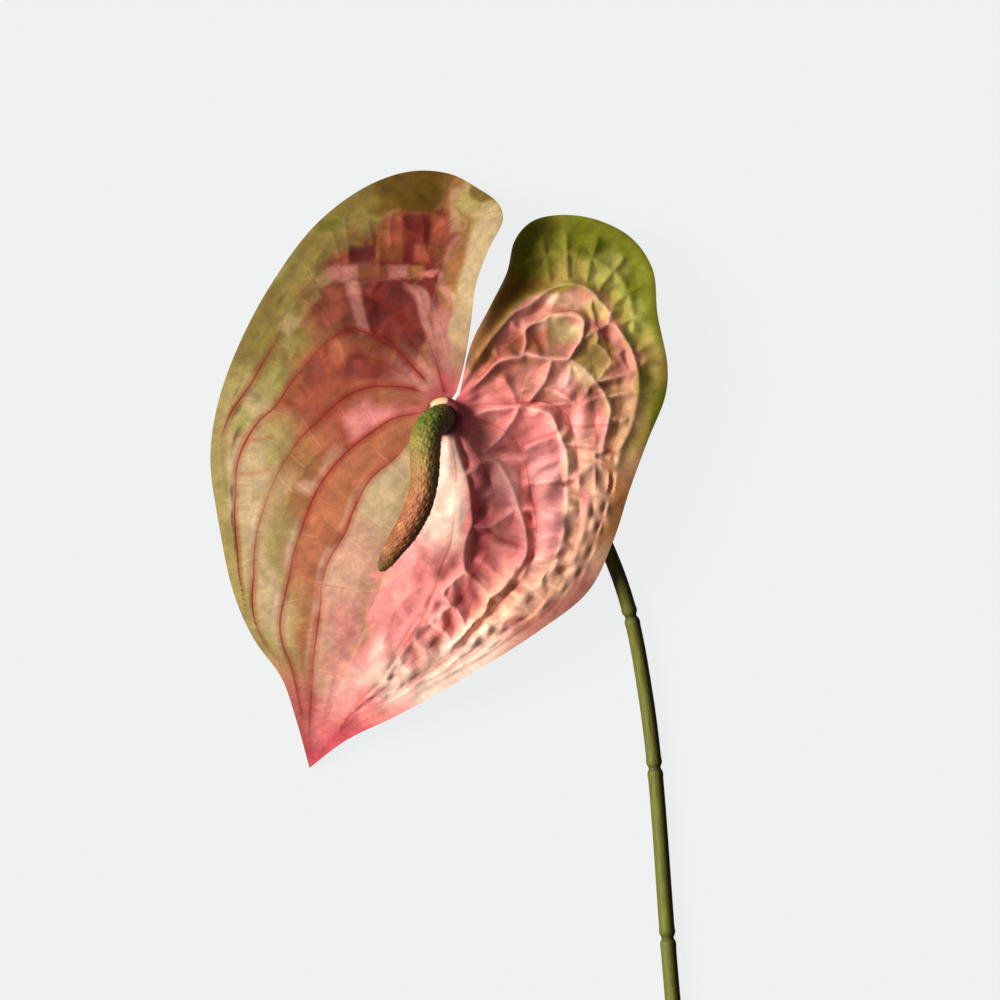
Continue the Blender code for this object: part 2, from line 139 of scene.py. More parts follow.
RIGHT_FOLDS = [
    (0.6, [(-19.4, -48.6), (-15.4, -56.4), (-11.7, -64.8)]), (0.7, [(-10.3, -42.3), (-6.6, -46.4),
    (-2.6, -51)]), (0.6, [(-2.6, -51), (-7.2, -58.4), (-11.7, -64.8), (-17.4, -73)]), (0.5, [(-24.6, -62),
    (-20.6, -68), (-16.8, -73.4)]), (1, [(4.6, 4.8), (10, 8.8), (15, 13.4), (18.5, 14.8), (21.6, 15.6),
    (23.2, 16.8), (25.5, 16.5), (30, 15.3), (35.6, 15)]), (1, [(35.6, 15), (38, 18.2), (40, 20.8),
    (40.4, 23), (40, 26.2), (38, 27.6), (35, 28.1), (30.5, 28.5)]), (1, [(30.5, 28.5), (28, 26.5),
    (24.5, 25), (22.6, 22.8), (23, 20), (22.4, 16.2)]), (0.7, [(18.6, 26), (20.3, 23.7), (22.5, 22.8)]),
    (0.5, [(14, 17.5), (15.2, 14.6)]), (0.9, [(9, 16), (13, 21), (16, 25), (18.8, 28.4), (24, 31.6),
    (27, 34), (30, 36), (35, 37.3), (40, 36.8), (43.2, 35.2), (45.5, 32.8), (48, 30.2), (49, 27.2),
    (47, 25.2), (44.6, 23.8)]), (0.5, [(33, 35.4), (31.3, 32), (30.4, 28.6)]), (0.6, [(43.6, 34.6),
    (42.6, 31), (43.6, 28), (44.8, 24)]), (0.7, [(40.2, 21), (42.5, 22.1), (44.6, 23.4)]),
    (0.9, [(30.4, 15.3), (29.7, 12.5), (28.4, 8.6), (26.3, 5.4), (24, 2.6)]), (0.8, [(36.2, 14.6),
    (38.5, 13), (41, 11.2), (43.3, 8.8)]), (0.6, [(36.2, 14.6), (36, 11), (35, 8)]), (0.8, [(44.6, 19.8),
    (47, 17.2), (48.2, 13.9), (46.5, 11.5), (45, 9.1), (43.6, 8.2)]), (0.8, [(44.8, 19.6), (45.2, 21.5),
    (44.8, 23.4)]), (1, [(43.3, 8.8), (45.2, 6.4), (47, 2.8), (48.2, -0.5), (47.9, -3.9), (47.2, -7.2),
    (46.2, -11.6), (45.5, -15), (45, -20), (44.6, -25)]), (1, [(48.9, 29.2), (48.6, 26.6), (50.8, 24.4),
    (52.7, 21.6), (54.6, 18.7), (55.8, 14.8), (56.6, 11), (56.8, 6.2), (56.3, 1.4), (55.6, -3.4),
    (54.6, -7.2), (52.7, -10.1), (50.8, -13), (49.8, -16)]), (0.6, [(47.6, 16.4), (50.3, 17), (52, 18),
    (54, 19.5)]), (0.5, [(50.3, 17), (52.2, 13.9), (52.9, 10.8)]), (0.8, [(44.4, 8.2), (49.8, 10),
    (53, 10.6), (56.4, 11.2)]), (0.7, [(47, 3.4), (50.8, 4.6), (56.4, 4.2)]), (0.7, [(48.4, -2.6),
    (51.8, -3.2), (55.6, -2.4)]), (-0.6, [(47, -11.2), (50.8, -13.2)]), (-0.5, [(45.4, -16), (49, -18.6)]),
    (0.5, [(40, 1.2), (43, 2.8), (46.6, 4)]), (-0.5, [(36, -4.8), (40.2, -5.2), (47.8, -4.6)]),
    (0.5, [(35, -10.8), (37, -11.4), (41, -11.4), (46.2, -10.8)]), (-0.5, [(35, -12), (38, -12.4),
    (42, -12.2), (46, -11.6)]), (-0.4, [(40, -15.6), (45.4, -15.8)]), (1, [(6.5, -2), (12.5, -0.3),
    (17.5, 0.3), (21.5, 0.6), (26, -0.4), (29.5, -1.8), (32, -5), (33.3, -8.5), (34.7, -12), (35, -16.5),
    (35, -21), (35, -27), (34.8, -31), (34.3, -36), (33.5, -40), (32.6, -43), (31.2, -47.7), (27.3, -52.1),
    (24, -54.8), (21.8, -57.6), (18.5, -60.9), (15.2, -63.6), (8, -69.5)]), (0.6, [(22, 6.2), (27, 6.4),
    (31, 6), (34, 4.2), (37.8, 2)]), (0.5, [(24.6, 2), (30, 1), (34, 1.4), (37.8, 2), (40.4, 3.8),
    (42.6, 6.8), (44, 8.4)]), (0.9, [(11.8, -12.6), (15.5, -8.6), (18, -5), (19.6, -2.4), (20.6, 0.4)]),
    (0.6, [(17, 8.6), (18.6, 6), (19.6, 3), (20, 0.6)]), (1, [(5, -19.5), (7.5, -18.5), (10, -17),
    (12, -15.6), (14.5, -16), (17, -20), (18.5, -23.5), (20, -27.5), (22, -33), (23.3, -37.5), (23.4, -41),
    (22.4, -44.6), (20.7, -48.2), (17.4, -52.6), (14.7, -55.4), (11.9, -56.6), (11.4, -59.4), (9.7, -62),
    (7, -64.7), (4.2, -67.5), (0.5, -70.4)]), (0.6, [(11.8, -12.6), (12, -15.6)]), (0.7, [(3.5, -6),
    (5.5, -9.5), (8, -12.6), (10, -14.8), (12, -15.6)]), (1, [(0.5, -13.5), (2, -16), (3.8, -18.6),
    (5, -21), (6, -25), (6.5, -30), (6.8, -34.5), (5.5, -38), (4.5, -41.5), (4, -45), (4.2, -48.6)]),
    (1, [(4.2, -48.6), (7, -51), (10.6, -54.6), (11.8, -56.6)]), (0.9, [(4.2, -48.6), (0.9, -52),
    (-1.4, -55.4), (0.2, -58.9)]), (0.8, [(0.2, -58.9), (2, -60.3), (3.6, -63), (4.6, -66)]),
    (0.8, [(0.2, -58.9), (-3, -61.2), (-5.2, -64.2), (-1.9, -66.9), (0.5, -70.4)]), (0.8, [(-5.2, -64.2),
    (-9, -65.8), (-10.1, -69.1), (-6.8, -73.5)]), (0.7, [(-10.1, -69.1), (-13.4, -71.3), (-15.1, -74.1),
    (-12.3, -78.5)]), (0.6, [(-15.1, -74.1), (-18.5, -77), (-20.5, -79.6), (-18, -83)]),
    (0.5, [(-20.5, -79.6), (-24, -83.5), (-22.5, -87)]), (0.8, [(6.8, -34.6), (9.5, -35.2), (12, -35.2),
    (14.5, -33.2), (16.5, -32), (19.5, -30.6), (21.2, -30.8)]), (-0.8, [(11.6, -36), (14, -38.2), (17, -40),
    (20.6, -41.4)]), (0.6, [(11.5, -39), (14, -40.6), (17, -42.2), (22.6, -43.2)]), (0.6, [(9.6, -45),
    (13, -47.6), (16, -50.4), (19, -50.8)]), (0.5, [(23.6, -11.2), (28, -9.2), (33.4, -8.6)]),
    (-0.6, [(22.6, -10.6), (28, -8.2), (32.4, -7.4)]), (0.7, [(12.6, -14.6), (17, -14.8), (22.4, -15)]),
    (0.8, [(24.4, -21.8), (30, -21.4), (35, -21.8), (38.6, -21.4)]), (-0.4, [(25.4, -23.2), (30, -22.8),
    (34, -23.4)]), (0.7, [(20.6, -30.6), (25, -30.8), (30, -30), (34.6, -29.6), (39, -30)]),
    (0.5, [(35, -26), (39.2, -27.4)]), (0.5, [(26.4, -38.2), (34, -38), (38.6, -40)]), (0.5, [(25.6, -45.4),
    (31.6, -46.2), (36.2, -46.6)]), (0.6, [(21.4, -50.4), (24.6, -54), (28.5, -57.4)]),
    (0.5, [(27.6, -51.8), (32.8, -54)]), (0.5, [(18.6, -54.6), (21.8, -57.6), (24, -61)]),
    (0.5, [(13.4, -60.6), (16.2, -63.4), (18, -66.4)]), (0.4, [(8.6, -64.4), (11, -67.6), (13, -70.6)]),
    (0.55, [(24, 44.6), (32, 46.4), (40, 46.8), (47, 43.6), (52, 38), (54.4, 31), (55.6, 24)]),
    (0.6, [(35.4, 52), (35.6, 45), (35.2, 38)]), (0.55, [(44.6, 51), (43, 46), (41, 37.6)]),
    (0.55, [(28, 50), (29.6, 44), (30.6, 37)]), (0.6, [(52.6, 45), (48.6, 40.6), (44.6, 34.6)]),
    (0.6, [(57.6, 37.6), (52.6, 34.6), (48.6, 30)]), (0.6, [(59.6, 27.6), (55, 26.6), (50.8, 24.8)]),
    (0.6, [(62, 20), (58.6, 18.6), (55.2, 17.4)]), (0.6, [(63.4, 13.6), (60, 14.4), (56.4, 12.6)]),
    (0.6, [(63.6, 4.6), (60, 5.4), (56.8, 5)]), (0.4, [(60.6, -3.6), (55.8, -2.6)]), (0.4, [(57, -12.6),
    (53.6, -10.2)])]
# The arch where the inner colour gives way to green, as points round a middle inside it
ARCH_MIDDLE = (28.0, 8.0)
ARCH = [
    (9, 15), (16, 25), (24, 31.6), (30, 36), (35, 37.3), (40, 36.8), (45.5, 32.8), (49.5, 28.5), (53, 21.6),
    (56, 14.8), (57, 6.2), (56, -3.4), (53.5, -10.1), (50.5, -17), (47, -30), (40, -48)]
FOLD_HEIGHT = 3.0           # mm from the floor of a cell to the top of its folds
FOLD_WIDTH = 2.0            # mm from the top of a fold to its foot
FULL_DEPTH_WIDTH = 9.0      # a valley narrower than this is shallower
WALL_WIDTH = {-1: 0.8, 1: 1.3}      # mm from the middle of a cross wall to its foot


def smooth_curve(points, count):
    """A cubic through the points in even steps; its slope at each point is that of its neighbours."""
    points = np.asarray(points, float)
    knots = np.r_[0, np.cumsum(np.sqrt(np.linalg.norm(np.diff(points, axis=0), axis=1)))]
    slopes = np.gradient(points, knots, axis=0)
    place = np.linspace(0, knots[-1], count)
    left = np.clip(np.searchsorted(knots, place, "right") - 1, 0, len(points) - 2)
    span = (knots[left + 1] - knots[left])[:, None]
    s = (place - knots[left])[:, None] / span
    return ((2 * s**3 - 3 * s**2 + 1) * points[left] + (s**3 - 2 * s**2 + s) * slopes[left] * span
            + (3 * s**2 - 2 * s**3) * points[left + 1] + (s**3 - s**2) * slopes[left + 1] * span)


def arc_lengths(curve):
    """Length along the curve up to each of its points: the running sum of its steps."""
    return np.r_[0, np.cumsum(np.linalg.norm(np.diff(curve, axis=0), axis=1))]


def along(curve, fractions):
    """Points at fractions of the curve's length."""
    length = arc_lengths(curve)
    return np.stack([np.interp(fractions, length / length[-1], axis) for axis in curve.T], axis=1)


def ramp(value, low, high):
    """0 below low, 1 above high and a smooth step between; low over high turns it round."""
    share = np.clip((value - low) / (high - low), 0, 1)
    return share * share * (3 - 2 * share)


def wander(x, y, size, seed):
    """A smooth random field of about -1 to 1, its features size mm across: a sum of plane waves."""
    rng = np.random.default_rng(seed)
    total = 0
    for _ in range(9):
        turn = rng.uniform(0, 2 * np.pi)
        pitch = rng.uniform(1.2, 3.4) * size
        start = rng.uniform(0, 2 * np.pi)
        total = total + np.sin(2 * np.pi * (x * math.cos(turn) + y * math.sin(turn)) / pitch + start)
    return total / 3.0


def blade_height(x, y):
    """Height over the plan point x, y from BASE: a roof with a rounded ridge along the midrib, sloping to
    the left and nearly level to the right, bowed down to the tip, its lobes curled along the cleft."""
    down = x * MIDRIB[0] + y * MIDRIB[1]
    across = y * MIDRIB[0] - x * MIDRIB[1]
    height = SPATHE_TOP - 0.45 * (np.hypot(np.minimum(across, 0), 12.0) - 12.0)
    height -= 0.12 * (np.hypot(np.maximum(across, 0), 12.0) - 12.0)
    height -= 26.0 * (np.maximum(down - 8.0, 0) / 110.0) ** 1.8
    height -= 9.0 * (np.maximum(-down - 20.0, 0) / 45.0) ** 2
    height -= 0.012 * np.maximum(across - 42.0, 0) ** 2
    cleft = np.array([0.268, 0.963])
    aside = x * cleft[1] - y * cleft[0]
    lift = np.clip((x * cleft[0] + y * cleft[1]) / 45.0, 0, 1) ** 1.3
    height += lift * 7.0 * np.exp(-(aside / 9.0) ** 2)
    height -= lift * 3.5 * np.exp(-((aside + 17.0) / 9.0) ** 2)
    height -= lift * 1.5 * np.exp(-((aside - 15.0) / 8.0) ** 2)
    return height


def angle_from_midrib(points):
    """Angle of plan points from the midrib, 0 to 180 degrees on either side."""
    turn = np.degrees(np.arctan2(points[:, 1], points[:, 0]) - math.atan2(MIDRIB[1], MIDRIB[0]))
    return np.abs((turn + 180) % 360 - 180)


def rounded(line, reach):
    """The line with its bends eased: each point moves to the mean of those up to reach points away."""
    padded = np.vstack([np.repeat(line[:1], reach, axis=0), line, np.repeat(line[-1:], reach, axis=0)])
    total = np.vstack([[[0, 0]], np.cumsum(padded, axis=0)])
    return (total[2 * reach + 1:] - total[:-2 * reach - 1]) / (2 * reach + 1)


class Half:
    """One half of the blade: its margin, and its lines from the midrib out to the margin.

    A line's reach in a direction is how far from the notch it crosses it.
    """

    def __init__(self, side):
        self.side = side
        self.margin = smooth_curve(LEFT_MARGIN if side < 0 else RIGHT_MARGIN, 1200)
        lines = [np.array([MIDRIB * NOTCH_RADIUS, TIP - BASE])]
        lines += [smooth_curve(vein + [TIP - BASE], 900) for vein in VEINS[side]]
        lines.append(self.margin)
        self.lines = [along(line, np.linspace(0, 1, int(arc_lengths(line)[-1] / 0.4))) for line in lines]
        self.guides = [rounded(line, 60) for line in self.lines]

    def band_of(self, points):
        """How many veins lie between each point and the midrib."""
        radius, degrees = np.hypot(*points.T), angle_from_midrib(points)
        count = 0
        for line in self.lines[1:6]:
            turned = angle_from_midrib(line)
            order = np.argsort(turned)
            count = count + (radius > np.interp(degrees, turned[order], np.hypot(*line[order].T), right=0))
        return count


def nearest_on(line, points):
    """Distance from each point to a line, and the length along the line to the nearest place: the foot
    of the perpendicular on the pieces beside the nearest of its points."""
    nearest = np.argmin((line**2).sum(1)[None] - 2 * points @ line.T, axis=1)
    length = arc_lengths(line)
    best = np.full(len(points), np.inf)
    place = np.zeros(len(points))
    for shift in (-1, 0):
        start = np.clip(nearest + shift, 0, len(line) - 2)
        piece = line[start + 1] - line[start]
        share = np.clip(((points - line[start]) * piece).sum(1) / (piece**2).sum(1), 0, 1)
        distance = np.linalg.norm(points - line[start] - piece * share[:, None], axis=1)
        closer = distance < best
        best[closer] = distance[closer]
        place[closer] = (length[start] + share * (length[start + 1] - length[start]))[closer]
    return best, place


def valley_widths(half):
    """Width of each line's valley, from crest to crest, at the points of the line."""
    widths = []
    for k, line in enumerate(half.lines):
        inner = nearest_on(half.lines[k - 1], line)[0] * (1 - CREST_PLACE[half.side][k - 1]) if k else 0
        outer = nearest_on(half.lines[k + 1], line)[0] * CREST_PLACE[half.side][k] if k < 6 else 0
        widths.append((inner + outer) * (1 if 0 < k < 6 else 2))
    return widths


def cross_walls(half):
    """For each valley: where its cross walls stand, in uneven steps; how each leans; how high it stands on
    either flank; and how much each cell is domed and tinted there, all by chance."""
    walls = []
    for k, line in enumerate(half.guides):
        rng = np.random.default_rng(40 if k == 0 else 50 + 10 * half.side + k)
        near, far = CELL_LENGTH[half.side][k]
        total = arc_lengths(line)[-1]
        places = [-30.0, 7.0 + rng.uniform(0, 0.6) * near]
        while places[-1] < total:
            share = min(places[-1] / (0.6 * total), 1)
            places.append(places[-1] + (near + (far - near) * share) * rng.uniform(0.7, 1.3))
        count = len(places)
        lowest = 0.3 if half.side < 0 else 0.6
        walls.append({"places": np.array(places), "lean": rng.uniform(-0.4, 0.4, count),
                      "stand": rng.uniform(lowest, 1.1, (2, count)),
                      "dome": rng.uniform(-1, 1, (2, count)), "tint": rng.uniform(-1, 1, (2, count))})
    return walls


def read_blade(half, points):
    """What every point on one half lies by, as arrays by name.

    They are the number of its valley, how many veins lie inside it, with a fraction, its distance to the
    vein and to the cross wall in mm, signed to change evenly through 0, its share of the climb to the
    crest, its place in the cell, the valley's width, how high the wall stands, and the cell's chances.
    """
    names = ("valley", "band", "to_vein", "to_wall", "climb", "inside", "width", "stand", "dome", "tint")
    found = {name: np.zeros(len(points)) for name in names}
    x, y = points.T
    hand = np.stack([wander(x, y, 11.0, 11), wander(x, y, 11.0, 12)], axis=1)
    points = points + 0.45 * hand * ramp(np.hypot(x, y), 4.0, 20.0)[:, None]
    widths, walls = valley_widths(half), cross_walls(half)
    bands = half.band_of(points)
    for band in range(6):
        here = np.flatnonzero(bands == band)
        inner, outer = (nearest_on(half.lines[k], points[here])[0] for k in (band, band + 1))
        width = np.maximum(inner + outer, 1e-6)
        crest = CREST_PLACE[half.side][band]
        found["band"][here] = band + inner / width
        to_crest = np.abs(inner - crest * width)
        for flank, chosen, k in ((0, inner < crest * width, band), (1, inner >= crest * width, band + 1)):
            spot = here[chosen]
            sign = 1 - 2 * flank
            distance = (outer if flank else inner)[chosen]
            run = nearest_on(half.guides[k], points[spot])[1]
            wall = walls[k]
            run = run + distance * sign * np.interp(run, wall["places"], wall["lean"])
            order = np.interp(run, wall["places"], np.arange(len(wall["places"])))
            cell = np.clip(order.astype(int), 0, len(wall["places"]) - 2)
            before, after = run - wall["places"][cell], wall["places"][cell + 1] - run
            closest = cell + (before > after)
            even = ramp(distance, 0.0, 2.0)
            found["valley"][spot] = k
            found["to_vein"][spot] = distance * sign
            found["climb"][spot] = distance / (distance + to_crest[chosen] + 1e-6)
            found["to_wall"][spot] = np.where(before < after, before, -after)
            found["inside"][spot] = order - cell
            alike = wall["stand"].mean(0)[closest]
            found["stand"][spot] = alike * (1 - even) + wall["stand"][flank][closest] * even
            found["dome"][spot] = wall["dome"][flank][cell]
            found["tint"][spot] = wall["tint"][flank][cell]
            found["width"][spot] = np.interp(run, arc_lengths(half.lines[k]), widths[k])
    return found


def fill_outline(outline, spacing):
    """A flat net of near-equal triangles inside a closed outline, whose own points come first.

    Rows of points, every other one shifted by half a step, run between each pair of the outline's
    crossings, and a Delaunay net joins them.
    """
    after = np.roll(outline, -1, axis=0)
    inside = []
    rise = spacing * math.sqrt(3) / 2
    for row, y in enumerate(np.arange(outline[:, 1].min() + rise / 2, outline[:, 1].max(), rise)):
        cut = (outline[:, 1] > y) != (after[:, 1] > y)
        share = (y - outline[cut, 1]) / (after[cut, 1] - outline[cut, 1])
        crossings = np.sort(outline[cut, 0] + share * (after[cut, 0] - outline[cut, 0]))
        for start, end in zip(crossings[::2], crossings[1::2]):
            first = math.ceil((start + spacing * 0.6) / spacing + row % 2 / 2) - row % 2 / 2
            xs = np.arange(first * spacing, end - spacing * 0.6, spacing)
            inside.append(np.stack([xs, np.full(len(xs), y)], axis=1))
    inside = np.vstack(inside)
    clear = [np.min((part[:, :1] - outline[:, 0]) ** 2 + (part[:, 1:] - outline[:, 1]) ** 2, axis=1)
             for part in np.array_split(inside, 200)]
    clear = np.concatenate(clear)
    points = np.vstack([outline, inside[clear > (0.6 * spacing) ** 2]])
    edges = np.stack([np.arange(len(outline)), np.roll(np.arange(len(outline)), -1)], axis=1)
    net = delaunay_2d_cdt(points.tolist(), edges.tolist(), [], 1, 1e-6)
    return np.array([tuple(point) for point in net[0]]), np.array(net[2])


def folded(folds, x, y):
    """How high the folds stand over the plan, from -1 to 1: the highest of the bell curves across them,
    and the deepest of those across the creases. Also the distance to the nearest fold in mm."""
    points = np.stack([x + 0.4 * wander(x, y, 9.0, 51), y + 0.4 * wander(x, y, 9.0, 52)], axis=1)
    raised, pressed, nearest = np.zeros(len(x)), np.zeros(len(x)), np.full(len(x), 9.0)
    for share, fold in folds:
        line = smooth_curve(fold, 12 * len(fold))
        here = np.flatnonzero(((points > line.min(axis=0) - 6) & (points < line.max(axis=0) + 6)).all(axis=1))
        if not len(here):
            continue
        distance = nearest_on(line, points[here])[0]
        if share > 0:
            away = (np.hypot(distance, 0.35) - 0.35) / FOLD_WIDTH
            raised[here] = np.maximum(raised[here], share * np.exp(-away))
            nearest[here] = np.minimum(nearest[here], distance + 1.2 * (1 - share))
        else:
            pressed[here] = np.maximum(pressed[here], -share * np.exp(-(distance / 0.6) ** 2))
    return raised, pressed, nearest


def relief(found, side, x, y, from_rim):
    """Depth of the skin under the tops of its folds, in mm.

    A floor lies under the folds and fades by the notch, the rim and the tip: FOLD_HEIGHT deep on the
    right, and low on the left. To it comes a share of the valleys, which fall from crest to vein as 1
    less the climb to a power and are filled by cross walls. Cells swell or sink a little, pleats fan
    out from the notch, and fine waves run over all of it.
    """
    near, down = np.hypot(x, y), x * MIDRIB[0] + y * MIDRIB[1]
    full = np.array(VALLEY_DEPTH[side])[found["valley"].astype(int)]
    full = full * np.clip(found["width"] / FULL_DEPTH_WIDTH, 0, 1) ** 1.4
    full = full * ramp(near, 3.0, 15.0) * ramp(down, 112.0, 84.0) * ramp(from_rim, 0.0, 6.0)
    if side < 0:
        full = full * ramp(np.abs(found["band"] - 5), 0.02, 0.3)
    wall = np.exp(-(found["to_wall"] / WALL_WIDTH[side]) ** 2) * found["stand"] * ramp(near, 8.0, 16.0)
    wall = wall * (1.0 if side > 0 else 0.5)
    hollow = (1 - found["climb"] ** 2.2) * (1 - 0.9 * np.clip(wall, 0, 1))
    depth = full * (np.sqrt(hollow**2 + 0.02) - 0.14)
    if side > 0:
        floor = FOLD_HEIGHT * ramp(near, 3.0, 12.0) * ramp(from_rim, 0.5, 6.0) * ramp(down, 96.0, 56.0)
        floor = floor * (1 - 0.5 * ramp(found["band"], 4.9, 5.4) * ramp(y, 16.0, 6.0))
        low_down = 0.25 * ramp(down, 40.0, 52.0) * ramp(found["band"], 0.15, 0.8)
        floor = floor * (0.12 + low_down + 0.63 * ramp(found["band"], 1.1, 1.5))
        floor = floor * (1 - 0.85 * ramp(found["band"], 4.0, 4.4) * ramp(y, -10.0, -20.0))
        floor = floor * (1 - 0.5 * ramp(found["band"], 3.0, 3.6) * ramp(y, -48.0, -58.0))
        floor = floor * (1 - 0.6 * ramp(found["band"], 3.0, 3.4) * ramp(y, -4.0, -30.0))
        depth = floor * (1 - found["raised"]) + 0.5 * found["pressed"] + 0.15 * depth
    else:
        floor = 0.9 * ramp(near, 3.0, 12.0) * ramp(from_rim, 0.0, 5.0) * ramp(y, -30.0, -10.0)
        floor = floor * (0.4 + 0.6 * ramp(y, 12.0, 24.0) * ramp(found["band"], 2.6, 3.2))
        depth = depth * (0.8 - 0.5 * ramp(y, 0.0, 14.0))
        depth = floor * (1 - found["raised"]) + 0.4 * found["pressed"] + depth
    swell = np.sin(np.pi * found["inside"]) ** 2 * 4 * found["climb"] * (1 - found["climb"])
    depth -= 0.8 * full * found["dome"] * swell * ramp(near, 8.0, 16.0)
    angle = np.degrees(np.arctan2(y, x))
    pleats = np.sin(angle / 3.4 + 1.2 * np.sin(angle / 11.0)) * np.sin(angle / 8.3 + 1.0)
    depth += (0.3 if side > 0 else 0.04) * pleats * ramp(near, 4.0, 10.0) * ramp(near, 34.0, 14.0)
    softness = np.clip(full, 0.25, 1.0) * ramp(from_rim, 0.0, 4.0) * ramp(near, 3.0, 12.0)
    return depth + softness * (0.24 * wander(x, y, 5.0, 21) + 0.06 * wander(x, y, 2.2, 22))


def linear(code):
    """Linear RGB of an sRGB hex colour."""
    share = np.array([int(code[k:k + 2], 16) for k in (1, 3, 5)]) / 255
    return np.where(share <= 0.04045, share / 12.92, ((share + 0.055) / 1.055) ** 2.4)


# The skin's paints. Then the rows of small cells across the left lobe: where the middle of each lies,
# half its height, its two ends, all in mm, and its paints; and the paints of the cells by the rim.
PAINTS = {"fawn": "#C09068", "shell": "#F0A098", "peach": "#E0A888", "oxblood": "#782820",
          "olive": "#A09848", "copper": "#C07048", "chestnut": "#884828", "terracotta": "#C87060",
          "dusty_rose": "#C07868", "brick": "#A85038", "khaki": "#B09858", "rose": "#E88880",
          "cream": "#F0C8B0", "tan": "#A87040", "maroon": "#601810", "sand": "#D0B080",
          "umber": "#705018", "moss": "#686818", "crimson": "#C85058", "bronze": "#907838"}
CELL_ROWS = ((41.3, 2.3, -38, -10, ("tan", "brick", "dusty_rose", "chestnut")),
             (47.2, 2.7, -34, -9, ("chestnut", "oxblood", "maroon", "brick")),
             (54.0, 4.5, -32, -3, ("tan", "brick", "chestnut", "oxblood")))
RIM_PAINTS = ("sand", "olive", "bronze", "khaki")


